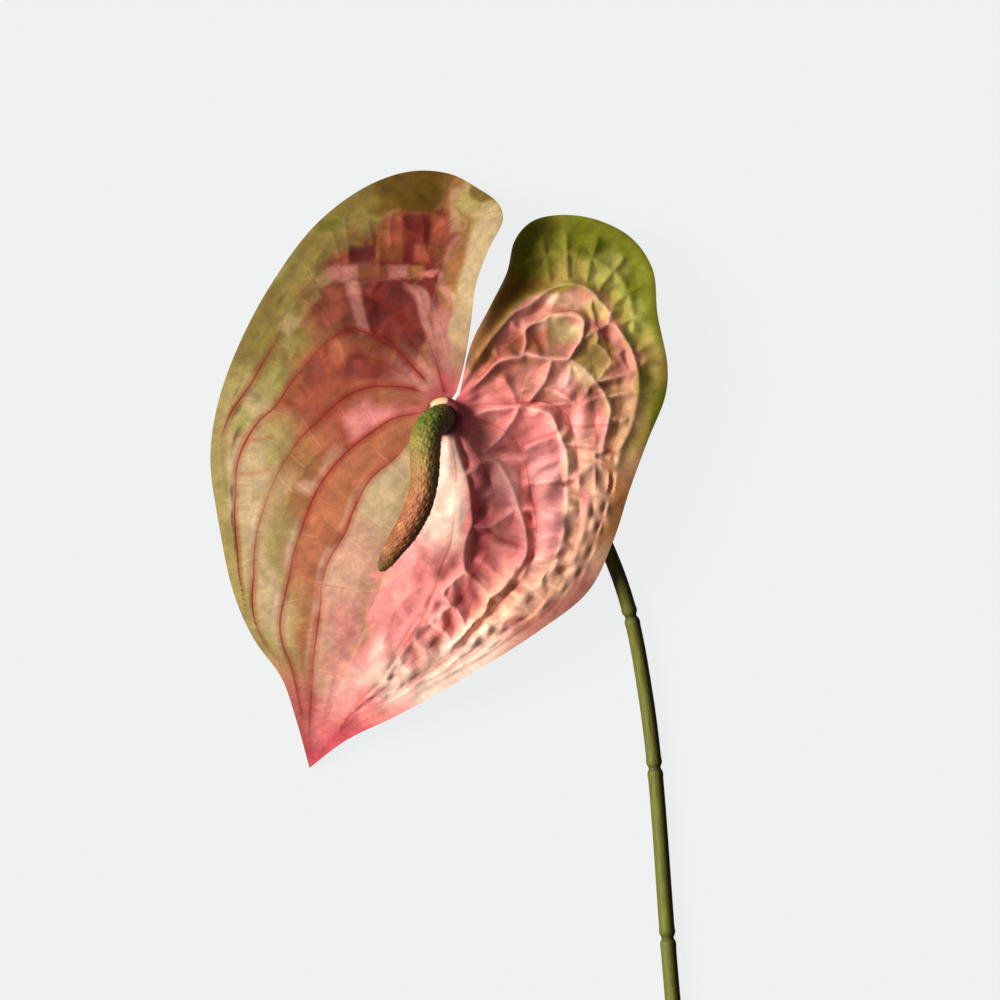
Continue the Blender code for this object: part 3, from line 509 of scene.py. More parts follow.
def airbrushed(x, y, found, left, from_rim):
    """Colour of the skin: soft washes sprayed over each other, each where its words say.

    x and y are in mm from the notch, from_rim is in mm, and left is 1 on the left half and 0 on the right.
    """
    sharp_x, sharp_y = x + 0.3 * wander(x, y, 5.0, 35), y + 0.3 * wander(x, y, 5.0, 36)
    x, y = x + 1.6 * wander(x, y, 7.0, 31), y + 1.6 * wander(x, y, 7.0, 32)
    near = np.hypot(x, y)
    down, across = x * MIDRIB[0] + y * MIDRIB[1], y * MIDRIB[0] - x * MIDRIB[1]
    band = found["band"] + 0.05 * wander(x, y, 5.0, 34) * ramp(near, 10.0, 30.0)
    from_rim = from_rim + 1.5 * wander(x, y, 6.0, 33)
    right = 1 - left
    tone = np.broadcast_to(linear("#D98A7C"), x.shape + (3,)).copy()

    def wash(half, layers):
        """Sprays each layer's paint over one half, as strongly as its cover says."""
        nonlocal tone
        for name, cover in layers:
            cover = np.clip(half * cover, 0, 1)[..., None]
            tone = tone * (1 - cover) + linear(PAINTS[name]) * cover

    def spot(x_middle, y_middle, x_reach, y_reach, turn=0.0):
        """1 in the middle of an ellipse, falling softly to 0 at its edge."""
        c, s = math.cos(math.radians(turn)), math.sin(math.radians(turn))
        u = ((x - x_middle) * c + (y - y_middle) * s) / x_reach
        v = ((y - y_middle) * c - (x - x_middle) * s) / y_reach
        return ramp(np.hypot(u, v), 1.0, 0.35)

    def between(low, high, soft=0.1):
        """1 in the bands from low to high, with soft edges."""
        return ramp(band, low - soft, low + soft) * ramp(band, high + soft, high - soft)

    def tile(x_middle, y_middle, x_reach, y_reach, turn=0.0):
        """1 inside a tilted box, with soft sides."""
        c, s = math.cos(math.radians(turn)), math.sin(math.radians(turn))
        u = np.abs((sharp_x - x_middle) * c + (sharp_y - y_middle) * s) - x_reach
        v = np.abs((sharp_y - y_middle) * c - (sharp_x - x_middle) * s) - y_reach
        return ramp(np.maximum(u, v), 0.8, -1.0)

    # left half: cream and copper by the midrib, sage and gold towards the rim, salmon low down
    wash(left, [
        ("copper", 1),
        ("khaki", ramp(x, -40, -52)),
        ("sand", spot(-62, -22, 10, 34)),
        ("sand", spot(-54, -57, 8, 20, 20)),
        ("fawn", spot(-44, -46, 7, 16, 14)),
        ("tan", between(2, 3) * ramp(y, -42, -26) * ramp(x, -34, -44)),
        ("brick", between(2, 4) * ramp(near, 54, 40) * ramp(y, -12, 0)),
        ("brick", between(2, 3) * ramp(near, 44, 32)),
        ("rose", between(2, 3) * ramp(near, 33, 25) * ramp(y, 3, -3)),
        ("peach", spot(-41, -24, 5, 4, 30) * 0.8),
        ("peach", spot(-36, -15, 6, 3, 40) * 0.4),
        ("khaki", spot(-49, -34, 4, 10, 10) * 0.7),
        ("sand", ramp(np.abs(band - 2.85), 0.3, 0.1) * ramp(y, -14, -26) * ramp(y, -66, -54) * 0.6),
        ("copper", between(1, 2) * ramp(down, 80, 46)),
        ("copper", between(1, 2) * spot(-42, -48, 5, 10, 12)),
        ("copper", between(1, 2) * spot(-38, -52, 6, 10, 10) * 0.7),
        ("sand", between(-1, 1)),
        ("peach", between(-1, 1) * ramp(down, 32, 50)),
        ("rose", ramp(down, 58, 76) * ramp(x, -42, -28)),
        ("cream", ramp(np.abs(found["to_vein"] - 1.6), 1.5, 0.2) * ramp(down, 20, 50)
              * (0.25 + 0.2 * wander(x, y, 9, 37))),
    ])
    # the upper left: brown and brick inside, in tiles, under an olive rim that browns at the top
    wash(left, [
        ("tan", ramp(y, -2, 10) * ramp(x, -56, -44)),
        ("brick", between(3, 4, 0.2) * ramp(y, -8, 6)),
        ("brick", spot(-21, 18, 11, 5, -10)),
        ("copper", spot(-31, 21, 4, 8, -50) * 0.7),
        ("terracotta", spot(-14, 21, 5, 3, -40) * 0.6),
        ("oxblood", spot(-25, 13, 12, 6, -10) * 0.8),
        ("bronze", ramp(y, 4, 20) * ramp(x, -42, -50)),
        ("olive", spot(-54, 10, 5, 4, 30) * 0.7),
        ("olive", spot(-62, -3, 4, 5, 0) * 0.7),
        ("bronze", spot(-48, 22, 5, 9, -24) * 0.7),
        ("bronze", spot(-44, 39, 6, 4, 40) * 0.8),
        ("khaki", spot(-42, 33.5, 6, 2, 36) * 0.8),
        ("chestnut", spot(-46, 6, 6, 3, 40) * 0.6),
    ])
    inner = left * ramp(from_rim, 9.0, 13.0) * ramp(sharp_y + 0.35 * sharp_x, 6.0, 13.0)
    wash(1, [
        ("chestnut", inner * ramp(x, -50, -36)),
        ("oxblood", inner * spot(-14, 34, 22, 20) * 1.5),
    ])
    wash(left, [
        ("maroon", spot(-14.5, 36, 3, 5, -20) * 0.6),
        ("maroon", spot(-22, 30, 2.6, 7, 12) * 0.6),
        ("oxblood", spot(-3.6, 30, 1.6, 9, 6) * 0.5),
        ("brick", spot(-33, 31, 3.4, 7, 20) * 0.7),
        ("oxblood", spot(-38.5, 32, 1.6, 5, 24) * 0.6),
        ("dusty_rose", tile(-27.4, 30.5, 1.8, 8.5, 14) * 0.9),
        ("brick", spot(-34, 27, 3, 5, 35) * 0.8),
        ("dusty_rose", spot(-8.5, 28, 2.4, 13, 20) * 1.1),
    ])
    draw = np.random.default_rng(61)
    for row, height, start, end, paints in CELL_ROWS:
        place = start
        while place < end:
            reach = draw.uniform(1.6, 4.4)
            cover = tile(place + reach, row, reach, height, draw.uniform(-9, 9)) * draw.uniform(0.65, 1)
            wash(left, [(paints[draw.integers(len(paints))], cover)])
            place += 2 * reach
    for height in np.arange(0.0, 42.0, 5.0):
        place = -57.5 + 0.42 * height + draw.uniform(-3, 3)
        cover = tile(place, height + draw.uniform(-1, 1), draw.uniform(1.8, 3.6), draw.uniform(1.8, 3.2),
                     draw.uniform(20, 60))
        wash(left, [(RIM_PAINTS[draw.integers(len(RIM_PAINTS))], 0.5 * cover)])
    wash(left, [
        ("dusty_rose", spot(-0.5, 38, 3.2, 8, 6) * 1.2),
        ("dusty_rose", spot(1.5, 50, 2.6, 5, -20) * 1.2),
        ("terracotta", spot(-5.6, 42, 1.8, 5.4, -48) * 1.2),
        ("dusty_rose", between(2, 6) * ramp(near, 24, 12) * ramp(y, 2, 8)),
        ("dusty_rose", ramp(x, -8, -4) * ramp(y, 12, 20) * ramp(y, 34, 26)),
        ("bronze", ramp(from_rim, 14, 9) * ramp(y, 28, 46) * ramp(x, -12, -24)),
        ("moss", spot(-36, 58, 8, 3, 30) * 0.8),
        ("olive", spot(-50, 42, 3, 7, -30) * 0.6),
        ("umber", ramp(y - 0.06 * x, 60, 62) * ramp(x, -32, -18) * ramp(x, 2, -2)),
        ("fawn", tile(2.2, 60, 1.7, 7) * 0.9),
        ("khaki", ramp(from_rim, 13, 8) * ramp(x, 3, 5) * ramp(y, 50, 56)),
        ("tan", ramp(np.abs(from_rim - 8.4), 1.6, 0.4) * ramp(x, 0, 2) * ramp(y, 62, 56) * 0.9),
        ("sand", ramp(from_rim, 7, 5) * ramp(x, 0, 2) * ramp(y, 8, 20) * ramp(y, 62, 56)),
        ("fawn", ramp(from_rim, 7, 5) * ramp(x, 0, 2) * ramp(y, 38, 16) * 0.6),
        ("umber", ramp(from_rim, 2.4, 0.8) * ramp(x, -2, 2) * ramp(y, 58, 62) * 0.8),
        ("khaki", ramp(from_rim, 5, 2) * ramp(y, 8, -6) * ramp(y, -96, -70)),
        ("terracotta", ramp(down, 84, 98) * ramp(x, -36, -42)),
        ("peach", spot(-29, -86, 5, 12, 60)),
    ])
    # right half: peach by the midrib, rose, then peach cells with olive floors, and green beyond the arch
    arch = np.array(ARCH) - ARCH_MIDDLE
    turn = np.arctan2(y - ARCH_MIDDLE[1], x - ARCH_MIDDLE[0])
    edge = np.interp(turn, np.arctan2(*arch.T[::-1])[::-1], np.hypot(*arch.T)[::-1])
    beyond = np.hypot(x - ARCH_MIDDLE[0], y - ARCH_MIDDLE[1]) - edge
    beyond = np.where((turn < -1.2) | (turn > 2.9), -20.0, beyond)
    wash(right, [
        ("rose", 1),
        ("cream", between(-1, 1.4) * ramp(down, 52, 34)),
        ("rose", between(-1, 1.4) * ramp(down, 34, 46)),
        ("rose", between(1.3, 3) * ramp(y, 0, -10)),
        ("shell", spot(17, -24, 4, 12, 14)),
        ("crimson", spot(9.5, -34, 5, 18, 6) * 0.7),
        ("shell", between(3, 3.75) * ramp(y, -6, -18)),
        ("peach", between(3.75, 4.1) * ramp(y, 0, -10)),
        ("shell", between(3.4, 4.3) * ramp(x, 36, 39.5) * ramp(y, 0, -6)),
        ("peach", spot(42, -24, 4.5, 24, 6)),
        ("dusty_rose", ramp(y, -4, 6) * ramp(x, 12, 26)),
        ("terracotta", spot(14, 14, 16, 10, 45) * 0.9),
        ("sand", spot(33, 23.6, 9, 5.5, 10)),
        ("brick", spot(26, 20.5, 7, 4, 0) * 0.8),
        ("peach", spot(34, 33, 12, 5, -10) * 0.9),
        ("khaki", spot(44, 29, 5, 5, -30) * 0.8),
        ("bronze", spot(44, 16, 7, 9, 10) * 0.9),
        ("sand", spot(39.5, 10, 5, 6, 30) * 0.8),
        ("shell", spot(34, 7, 5, 6) * 0.8),
        ("peach", spot(45.5, -16, 3, 12, 4)),
        ("peach", spot(41, -40, 8, 14, 24)),
        ("fawn", ramp(x, 46, 48.5) * ramp(y, 12, 4) * ramp(y, -34, -20)),
        ("peach", between(4.6, 7) * ramp(y, -16, -26)),
        ("bronze", ramp(beyond, -1.6, 1.8) * ramp(y, -22, -6)),
        ("moss", ramp(beyond, 2, 6) * ramp(y, -16, -8) * ramp(y, 12, 2)),
        ("olive", ramp(beyond, 1, 5) * ramp(x, 34, 46) * ramp(y, 16, 26)),
        ("moss", ramp(beyond, 5, 10) * ramp(x, 24, 40) * ramp(y, 14, 26)),
        ("bronze", ramp(beyond, 0.5, 2) * ramp(beyond, 7, 4) * ramp(y, 24, 34) * ramp(x, 12, 22) * 0.7),
        ("bronze", ramp(beyond, -0.5, 0.8) * ramp(beyond, 7, 3) * ramp(y, 22, 30) * ramp(x, 46, 38) * 0.8),
        ("olive", spot(47, 42, 9, 8, -40) * 0.8),
        ("moss", spot(33, 52, 8, 6, 10) * 0.7),
        ("umber", ramp(beyond, 0, 3) * ramp(x, 34, 22) * ramp(y, 22, 32)),
        ("moss", ramp(beyond, 5, 9) * ramp(x, 34, 24) * ramp(y, 34, 44)),
        ("tan", ramp(beyond, -3, 1) * ramp(y, 2, 8) * ramp(y, 36, 24) * ramp(x, 24, 14)),
        ("tan", ramp(from_rim, 6, 3) * ramp(y, -14, -24) * ramp(y, -60, -40)),
        ("peach", ramp(from_rim, 24, 12) * ramp(y, -36, -50) * ramp(x, -2, 8)),
        ("cream", ramp(from_rim, 24, 12) * ramp(y, -40, -56) * ramp(x, 8, -2)),
        ("dusty_rose", ramp(from_rim, 7, 4.5) * ramp(x, 2, 14) * ramp(y, -44, -54)),
        ("cream", spot(2, -77, 26, 8, 32) * 1.1),
        ("rose", spot(-4, -64, 26, 10, 40) * 0.8),
    ])
    # both halves: a tan midrib low down, hot rose at the notch and the tip
    wash(1, [
        ("fawn", ramp(np.abs(across + 1.2), 2.2, 0.4) * ramp(down, 46, 56) * ramp(down, 92, 78) * 0.6),
        ("crimson", ramp(near, 13, 4) * 0.8),
    ])
    wash(right, [
        ("rose", ramp(down, 82, 92)),
    ])
    wash(1, [
        ("crimson", ramp(down, 92, 103) * (0.35 + 0.65 * right)),
        ("crimson", ramp(down, 102, 113)),

    ])    # the lamp reaches the two halves unlike, so the paint on the left is darker
    return tone * (0.54 * left + 1.04 * right)[:, None]


def node(tree, kind, inputs=(), **settings):
    """Adds a node. inputs gives sockets by name or number a value, a hex colour, a socket, or a node, which
    stands for its first output."""
    made = tree.nodes.new("ShaderNode" + kind)
    for name, value in settings.items():
        setattr(made, name, value)
    for socket, value in dict(inputs).items():
        if isinstance(value, bpy.types.Node):
            value = value.outputs[0]
        if isinstance(value, str):
            value = (*linear(value), 1)
        if isinstance(value, bpy.types.NodeSocket):
            tree.links.new(value, made.inputs[socket])
        else:
            made.inputs[socket].default_value = value
    return made


def new_material(name, **sockets):
    """A Principled material with constants on its own sockets; returns it, its tree and its shader."""
    material = bpy.data.materials.new(name)
    material.use_nodes = True
    shader = material.node_tree.nodes["Principled BSDF"]
    for socket, value in sockets.items():
        shader.inputs[socket.replace("_", " ")].default_value = value
    return material, material.node_tree, shader


def waxed_skin():
    """Waxed petal skin: airbrushed colour, darkened in its pits partly by painted shade and paled on its fold
    tops partly by a painted highlight, dark red veins, faint pale cross walls, which are partly a painted
    highlight, and thin red threads.

    A soft satin gloss comes from the wax, and a fine grain like vellum breaks it up.
    """
    material, tree, shader = new_material("waxed_petal_skin", IOR=1.42, Specular_IOR_Level=0.07)
    vein_width, blush_width, wall_width, thread_width = 0.3, 1.5, 0.3, 0.16      # mm to where each fades
    thread_gap, blotch_size, grain_size = 0.7, 1 / 0.26, 1 / 1.1                     # mm
    tone = node(tree, "Attribute", attribute_name="tone").outputs["Color"]
    lines = node(tree, "SeparateXYZ", {0: node(tree, "Attribute", attribute_name="lines").outputs["Vector"]})
    marks = node(tree, "SeparateXYZ", {0: node(tree, "Attribute", attribute_name="marks").outputs["Vector"]})
    place = node(tree, "TexCoord").outputs["Object"]
    blotches = node(tree, "TexNoise", {"Vector": place, "Scale": 1 / (blotch_size * MM), "Detail": 4.0,
                                       "Roughness": 0.6})
    grain = node(tree, "TexNoise", {"Vector": place, "Scale": 1 / (grain_size * MM), "Detail": 3.0,
                                    "Roughness": 0.65})

    def line(distance, width, strength):
        """How much of a line shows at a signed distance from its middle."""
        far = node(tree, "Math", {0: distance}, operation="ABSOLUTE")
        near = node(tree, "MapRange", {0: far, 1: width * 0.35, 2: width * 1.4, 3: 1.0, 4: 0.0},
                    interpolation_type="SMOOTHSTEP")
        return node(tree, "Math", {0: near, 1: strength}, operation="MULTIPLY")

    mottle = node(tree, "MapRange", {0: blotches, 1: 0.35, 2: 0.65, 3: 0.86, 4: 1.14})
    speckle = node(tree, "MapRange", {0: grain, 1: 0.3, 2: 0.7, 3: 0.9, 4: 1.1})
    mottle = node(tree, "Math", {0: mottle, 1: speckle}, operation="MULTIPLY")
    colour = node(tree, "VectorMath", {0: tone, "Scale": mottle}, operation="SCALE")
    # pale cross walls: partly paler paint, partly a painted highlight on their tops
    pale = node(tree, "MixRGB", {0: 0.5, 1: tone, 2: "#FFDCC2"})
    wall = line(lines.outputs["Y"], wall_width, marks.outputs["Y"])
    wall = node(tree, "Math", {0: wall, 1: 0.75}, operation="MULTIPLY")
    colour = node(tree, "MixRGB", {0: wall, 1: colour, 2: pale})
    blush = line(lines.outputs["X"], blush_width, marks.outputs["X"])
    blush = node(tree, "Math", {0: blush, 1: 0.55}, operation="MULTIPLY")
    colour = node(tree, "MixRGB", {0: blush, 1: colour, 2: "#E08270"}, blend_type="MULTIPLY")
    vein = line(lines.outputs["X"], vein_width, marks.outputs["X"])
    vein = node(tree, "Math", {0: vein, 1: 0.8}, operation="MULTIPLY")
    colour = node(tree, "MixRGB", {0: vein, 1: colour, 2: "#64140E"})
    beside = node(tree, "Math", {0: lines.outputs["Y"], 1: thread_gap}, operation="SUBTRACT")
    come_and_go = node(tree, "MapRange", {0: blotches, 1: 0.46, 2: 0.6, 3: 0.0, 4: 0.35})
    thread = line(beside, thread_width, come_and_go)
    colour = node(tree, "MixRGB", {0: thread, 1: colour, 2: "#CC7A66"}, blend_type="MULTIPLY")
    tree.links.new(colour.outputs[0], shader.inputs["Base Color"])

    gloss = node(tree, "MapRange", {0: blotches, 1: 0.3, 2: 0.7, 3: 0.56, 4: 0.62})
    tree.links.new(gloss.outputs[0], shader.inputs["Roughness"])
    height = node(tree, "Math", {0: grain, 1: 0.4, 2: blotches}, operation="MULTIPLY_ADD")
    bump = node(tree, "Bump", {"Height": height, "Strength": 0.3, "Distance": 0.3 * MM})
    tree.links.new(bump.outputs[0], shader.inputs["Normal"])
    return material


def back_skin():
    """The back of the blade: the same skin unwaxed, pale and matt, its veins raised and red."""
    material, tree, shader = new_material("matt_petal_back", Roughness=0.62, IOR=1.4)
    lines = node(tree, "SeparateXYZ", {0: node(tree, "Attribute", attribute_name="lines").outputs["Vector"]})
    marks = node(tree, "SeparateXYZ", {0: node(tree, "Attribute", attribute_name="marks").outputs["Vector"]})
    tone = node(tree, "Attribute", attribute_name="tone").outputs["Color"]
    place = node(tree, "TexCoord").outputs["Object"]
    patch_size = 1 / 0.09       # mm
    patchy = node(tree, "TexNoise", {"Vector": place, "Scale": 1 / (patch_size * MM), "Detail": 5.0})
    colour = node(tree, "MixRGB", {0: 0.5, 1: tone, 2: "#D8C498"})
    blot = node(tree, "MapRange", {0: patchy, 1: 0.4, 2: 0.65, 3: 0.0, 4: 0.35})
    colour = node(tree, "MixRGB", {0: blot, 1: colour, 2: "#B4B878"})
    far = node(tree, "Math", {0: lines.outputs["X"]}, operation="ABSOLUTE")
    vein = node(tree, "MapRange", {0: far, 1: 0.2, 2: 1.2, 3: 0.6, 4: 0.0}, interpolation_type="SMOOTHSTEP")
    vein = node(tree, "Math", {0: vein, 1: marks.outputs["X"]}, operation="MULTIPLY")
    colour = node(tree, "MixRGB", {0: vein, 1: colour, 2: "#A34B48"})
    tree.links.new(colour.outputs[0], shader.inputs["Base Color"])
    bump = node(tree, "Bump", {"Height": patchy, "Strength": 0.3, "Distance": 0.4 * MM})
    tree.links.new(bump.outputs[0], shader.inputs["Normal"])
    return material


def new_piece(name, points, faces, materials, face_materials=None):
    """A smooth-shaded mesh object at the origin; points in mm."""
    mesh = bpy.data.meshes.new(name)
    mesh.from_pydata((np.asarray(points) * MM).tolist(), [], [tuple(face) for face in faces])
    for material in materials:
        mesh.materials.append(material)
    if face_materials is not None:
        mesh.polygons.foreach_set("material_index", np.asarray(face_materials, np.int32))
    mesh.shade_smooth()
    mesh.set_sharp_from_angle(angle=math.radians(55))
    piece = bpy.data.objects.new(name, mesh)
    bpy.context.collection.objects.link(piece)
    return piece


def paint(piece, name, values):
    """Gives each point of the mesh a number, a vector or a linear colour for its material to read."""
    values = np.asarray(values, np.float32)
    kind, field = {1: ("FLOAT", "value"), 3: ("FLOAT_VECTOR", "vector"), 4: ("FLOAT_COLOR", "color")}[
        1 if values.ndim == 1 else values.shape[1]]
    piece.data.attributes.new(name, kind, "POINT").data.foreach_set(field, values.ravel())


def blade_face(halves, outline, spacing):
    """One face of the blade: its plan and triangles, the relief's depth, and what its skin is painted by."""
    plan, triangles = fill_outline(outline, spacing)
    x, y = plan.T
    across = y * MIDRIB[0] - x * MIDRIB[1]
    from_rim = np.concatenate([nearest_on(np.vstack([outline, outline[:1]]), part)[0]
                               for part in np.array_split(plan, 60)])
    depth, tone = np.zeros(len(plan)), np.zeros((len(plan), 3))
    lines, marks = np.zeros((len(plan), 3)), np.zeros((len(plan), 3))
    for side, half in halves.items():
        here = np.flatnonzero((across > 0) == (side > 0))
        px, py, rim = x[here], y[here], from_rim[here]
        found = read_blade(half, plan[here])
        folds = LEFT_FOLDS if side < 0 else RIGHT_FOLDS
        found["raised"], found["pressed"], found["to_fold"] = folded(folds, px, py)
        near, down, band = np.hypot(px, py), px * MIDRIB[0] + py * MIDRIB[1], found["band"]
        depth[here] = relief(found, side, px, py, rim)
        off_midrib = (across[here] + 1.5 * wander(px, py, 9.0, 42)) / (1 + 2.0 * ramp(down, 40.0, 62.0))
        colour = airbrushed(px, py, found, ramp(off_midrib, 2.0, -2.0), rim)
        # darker in the cells away from the folds, darkest in the lobes: partly the skin's own darker paint,
        # partly painted shade in the pits
        if side > 0:
            pit_paint_and_shade = ramp(found["to_fold"], 0.5, 3.0 - 1.5 * ramp(band, 2.9, 3.5)) * ramp(band, 1.25, 1.5)
            pit_paint_and_shade = 0.9 * pit_paint_and_shade * (0.7 + 0.5 * wander(px, py, 8.0, 43))
            pit_paint_and_shade = 0.42 * pit_paint_and_shade * (1 - 0.45 * ramp(band, 3.1, 3.6) * ramp(py, 6.0, -10.0))
            outer = ramp(band, 3.6, 4.4)[:, None]
            # the colour of the pits: partly their own darker paint, partly painted shade
            pit_paint_and_shade_colour = linear("#8A2026") * (1 - outer) + linear("#6A4A20") * outer
            blotchy, uneven = 0.6, 0.17
        else:
            lobe, blotchy = ramp(py, 2.0, 16.0) * ramp(px, -56.0, -40.0), 1.0
            pit_paint_and_shade = (1 - found["climb"] ** 2) * (1 - np.exp(-(found["to_wall"] / 1.6) ** 2))
            pit_paint_and_shade = 0.6 * (0.12 + 0.3 * lobe) * pit_paint_and_shade
            # on the left, a darker copy of the skin's own colour, for the paint and the painted shade in the
            # pits
            pit_paint_and_shade_colour = colour * [0.6, 0.4, 0.4]
            uneven = 0.07 + 0.2 * lobe
        pit_paint_and_shade = 1.3 * (pit_paint_and_shade * ramp(near, 10.0, 20.0) * ramp(band, 5.4, 5.0))[:, None]
        colour = colour * (1 - pit_paint_and_shade) + pit_paint_and_shade_colour * pit_paint_and_shade
        # blots, and cells a little lighter or darker than the next
        blots = blotchy * (0.06 * wander(px, py, 5.0, 45) + 0.05 * wander(px, py, 1.8, 46))
        colour = colour * (1 + blots[:, None] * [0.9, 1.0, 0.7])
        patch = uneven * found["tint"] * ramp(near, 8.0, 18.0) * ramp(rim, 4.0, 10.0)
        colour = colour * (1 + patch[:, None] * [0.9, 1.1, 1.0])
        # pale tops on the folds, partly paler paint and partly a painted highlight where they catch the
        # light, and red creases
        edge = ramp(found["to_fold"], 0.65, 0.1) * ramp(near, 4.0, 10.0) * ramp(rim, 2.0, 6.0)
        strength = 0.45 * np.maximum(ramp(band, 5.4, 5.0), 0.6 * ramp(py, 8.0, 16.0)) if side > 0 else 0.04
        edge = edge * strength
        colour = colour + 0.55 * edge[:, None] * (linear("#FFDCC2") - colour)
        tone[here] = colour + 0.7 * found["pressed"][:, None] * (linear("#9C2A2A") - colour)
        # how strongly the veins show, and on the left half the pale cross walls, partly paler paint and
        # partly a painted highlight
        real = (found["valley"] > 0) & (found["valley"] < 6)
        vein = np.where(real, 1.0 if side < 0 else 0.36, 0.0) * ramp(found["climb"], 0.7, 0.4)
        vein = vein * ramp(found["width"], 1.2, 2.6) * (0.8 + 0.35 * wander(px, py, 14.0, 44))
        wall = 0 * rim
        if side < 0:
            fading = np.maximum(0.8 * ramp(py, 6.0, 22.0), ramp(down, 24.0, 38.0))
            vein = vein * (1 + 0.5 * ramp(py, -8.0, 6.0)) * (1 - ramp(band, 4.4, 4.6) * fading)
            wall = 0.12 * found["stand"] * ramp(np.abs(2 * found["inside"] - 1), 0.2, 0.6)
            wall = wall * ramp(py, 6.0, -6.0)
            wall = wall * ramp(near, 10.0, 20.0) * np.clip(found["width"] / 6.0, 0, 1)
            wall = wall * (1 - 0.7 * ramp(band, 5.1, 5.5)) * ramp(rim, 0.6, 3.5) * ramp(down, 112.0, 90.0)
        lines[here, :2] = np.stack([found["to_vein"], found["to_wall"]], axis=1)
        marks[here, :2] = np.stack([vein * ramp(rim, 1.2, 2.6), wall], axis=1)
    return {"plan": plan, "triangles": triangles, "depth": depth, "tone": np.c_[tone, np.ones(len(plan))],
            "lines": lines, "marks": marks}


def build_spathe():
    """The blade: a front face and a back face inside one outline, with a wall round the edge."""
    halves = {side: Half(side) for side in (-1, 1)}
    left, right = halves[-1].margin, halves[1].margin
    turns = [math.atan2(*start[::-1]) for start in (right[0], left[0])]
    turns = np.linspace(turns[0], turns[1] - 2 * math.pi, 80)
    notch = NOTCH_RADIUS * np.stack([np.cos(turns), np.sin(turns)], axis=1)
    loop = np.vstack([left, right[-2::-1], notch])
    outline = along(loop, np.linspace(0, 1, int(arc_lengths(loop)[-1] / FACE_SPACING)))[:-1]
    tip = np.argmin(np.linalg.norm(outline - (TIP - BASE), axis=1))
    outline[tip] = TIP - BASE
    front, back = (blade_face(halves, outline, spacing) for spacing in (FACE_SPACING, BACK_SPACING))
    heights = []
    for face, under in ((front, 0.0), (back, BLADE_THICKNESS)):
        x, y = face["plan"].T
        slope = [(blade_height(x + dx, y + dy) - blade_height(x - dx, y - dy)) / 0.1
                 for dx, dy in ((0.05, 0), (0, 0.05))]
        steepness = np.sqrt(1 + slope[0] ** 2 + slope[1] ** 2)
        heights.append(blade_height(x, y) - face["depth"] - under * steepness)
    floor = heights[1].min()
    points = [np.c_[face["plan"] + BASE, height - floor] for face, height in zip((front, back), heights)]
    count, rim = len(points[0]), np.arange(len(outline))
    after = np.roll(rim, -1)
    wall = np.vstack([np.stack([rim, rim + count, after], axis=1),
                      np.stack([after, rim + count, after + count], axis=1)])
    faces = np.vstack([front["triangles"], back["triangles"][:, ::-1] + count, wall])
    sides = np.r_[np.zeros(len(front["triangles"])), np.ones(len(back["triangles"]) + len(wall))]
    piece = new_piece("spathe_blade", np.vstack(points), faces.tolist(), [waxed_skin(), back_skin()], sides)
    for name in ("tone", "lines", "marks"):
        paint(piece, name, np.vstack([front[name], back[name]]))
    return piece


spathe = build_spathe()
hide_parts("spathe")
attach(spathe, "root")

# ---------------------------------------------------------------------------------------------
# Collar. The seat of the spadix where stem and blade meet: a firm fleshy ring, dark red but for a cream lip
# towards the cleft and the light, grown in one with both. The cream is partly its own colour and partly a
# painted highlight, and the dark red round the rest is partly painted shade.

# Height and radius, in mm
COLLAR_PROFILE = [(0, 4), (0.1, 4.7), (0.5, 5.5), (1, 5.85), (1.5, 5.85), (2, 5.6), (2.4, 5.2), (2.62, 4.8),
                  (2.7, 4.3)]
COLLAR_PLACE = np.array([-1.2, -2.1])
COLLAR_AXIS = np.array([-0.22, -0.10, 0.97]) / np.linalg.norm([-0.22, -0.10, 0.97])
COLLAR_SIDES = 72
CREAM_HEADING = 106         # degrees from X to where the lip is cream, its upper left, towards the light: partly its own cream and partly a painted highlight


def sweep(path, radii, sides, across):
    """Rings of points round a path, each square to it and turned as little as can be from the last.

    across is a direction roughly square to the start, and radii is one number a ring or a point.
    """
    tangent = np.gradient(path, axis=0)
    tangent /= np.linalg.norm(tangent, axis=1)[:, None]
    side = np.empty_like(tangent)
    before = np.asarray(across, float)
    for ring, heading in enumerate(tangent):
        before = before - heading * (before @ heading)
        before /= np.linalg.norm(before)
        side[ring] = before
    up = np.cross(tangent, side)
    angle = 2 * np.pi * (np.arange(sides) + 0.5) / sides - np.pi / 2
    ring_shape = np.cos(angle)[None, :, None] * side[:, None] + np.sin(angle)[None, :, None] * up[:, None]
    return path[:, None] + ring_shape * np.asarray(radii).reshape(len(path), -1, 1)


def tube_faces(rings, sides):
    """Quads of a swept tube with a flat cap at each end."""
    ring, corner = np.meshgrid(np.arange(rings - 1), np.arange(sides), indexing="ij")
    a, b = ring * sides + corner, ring * sides + (corner + 1) % sides
    faces = [tuple(f) for f in np.stack([a, b, b + sides, a + sides], axis=-1).reshape(-1, 4)]
    return faces + [tuple(range(sides))[::-1], tuple(range((rings - 1) * sides, rings * sides))]


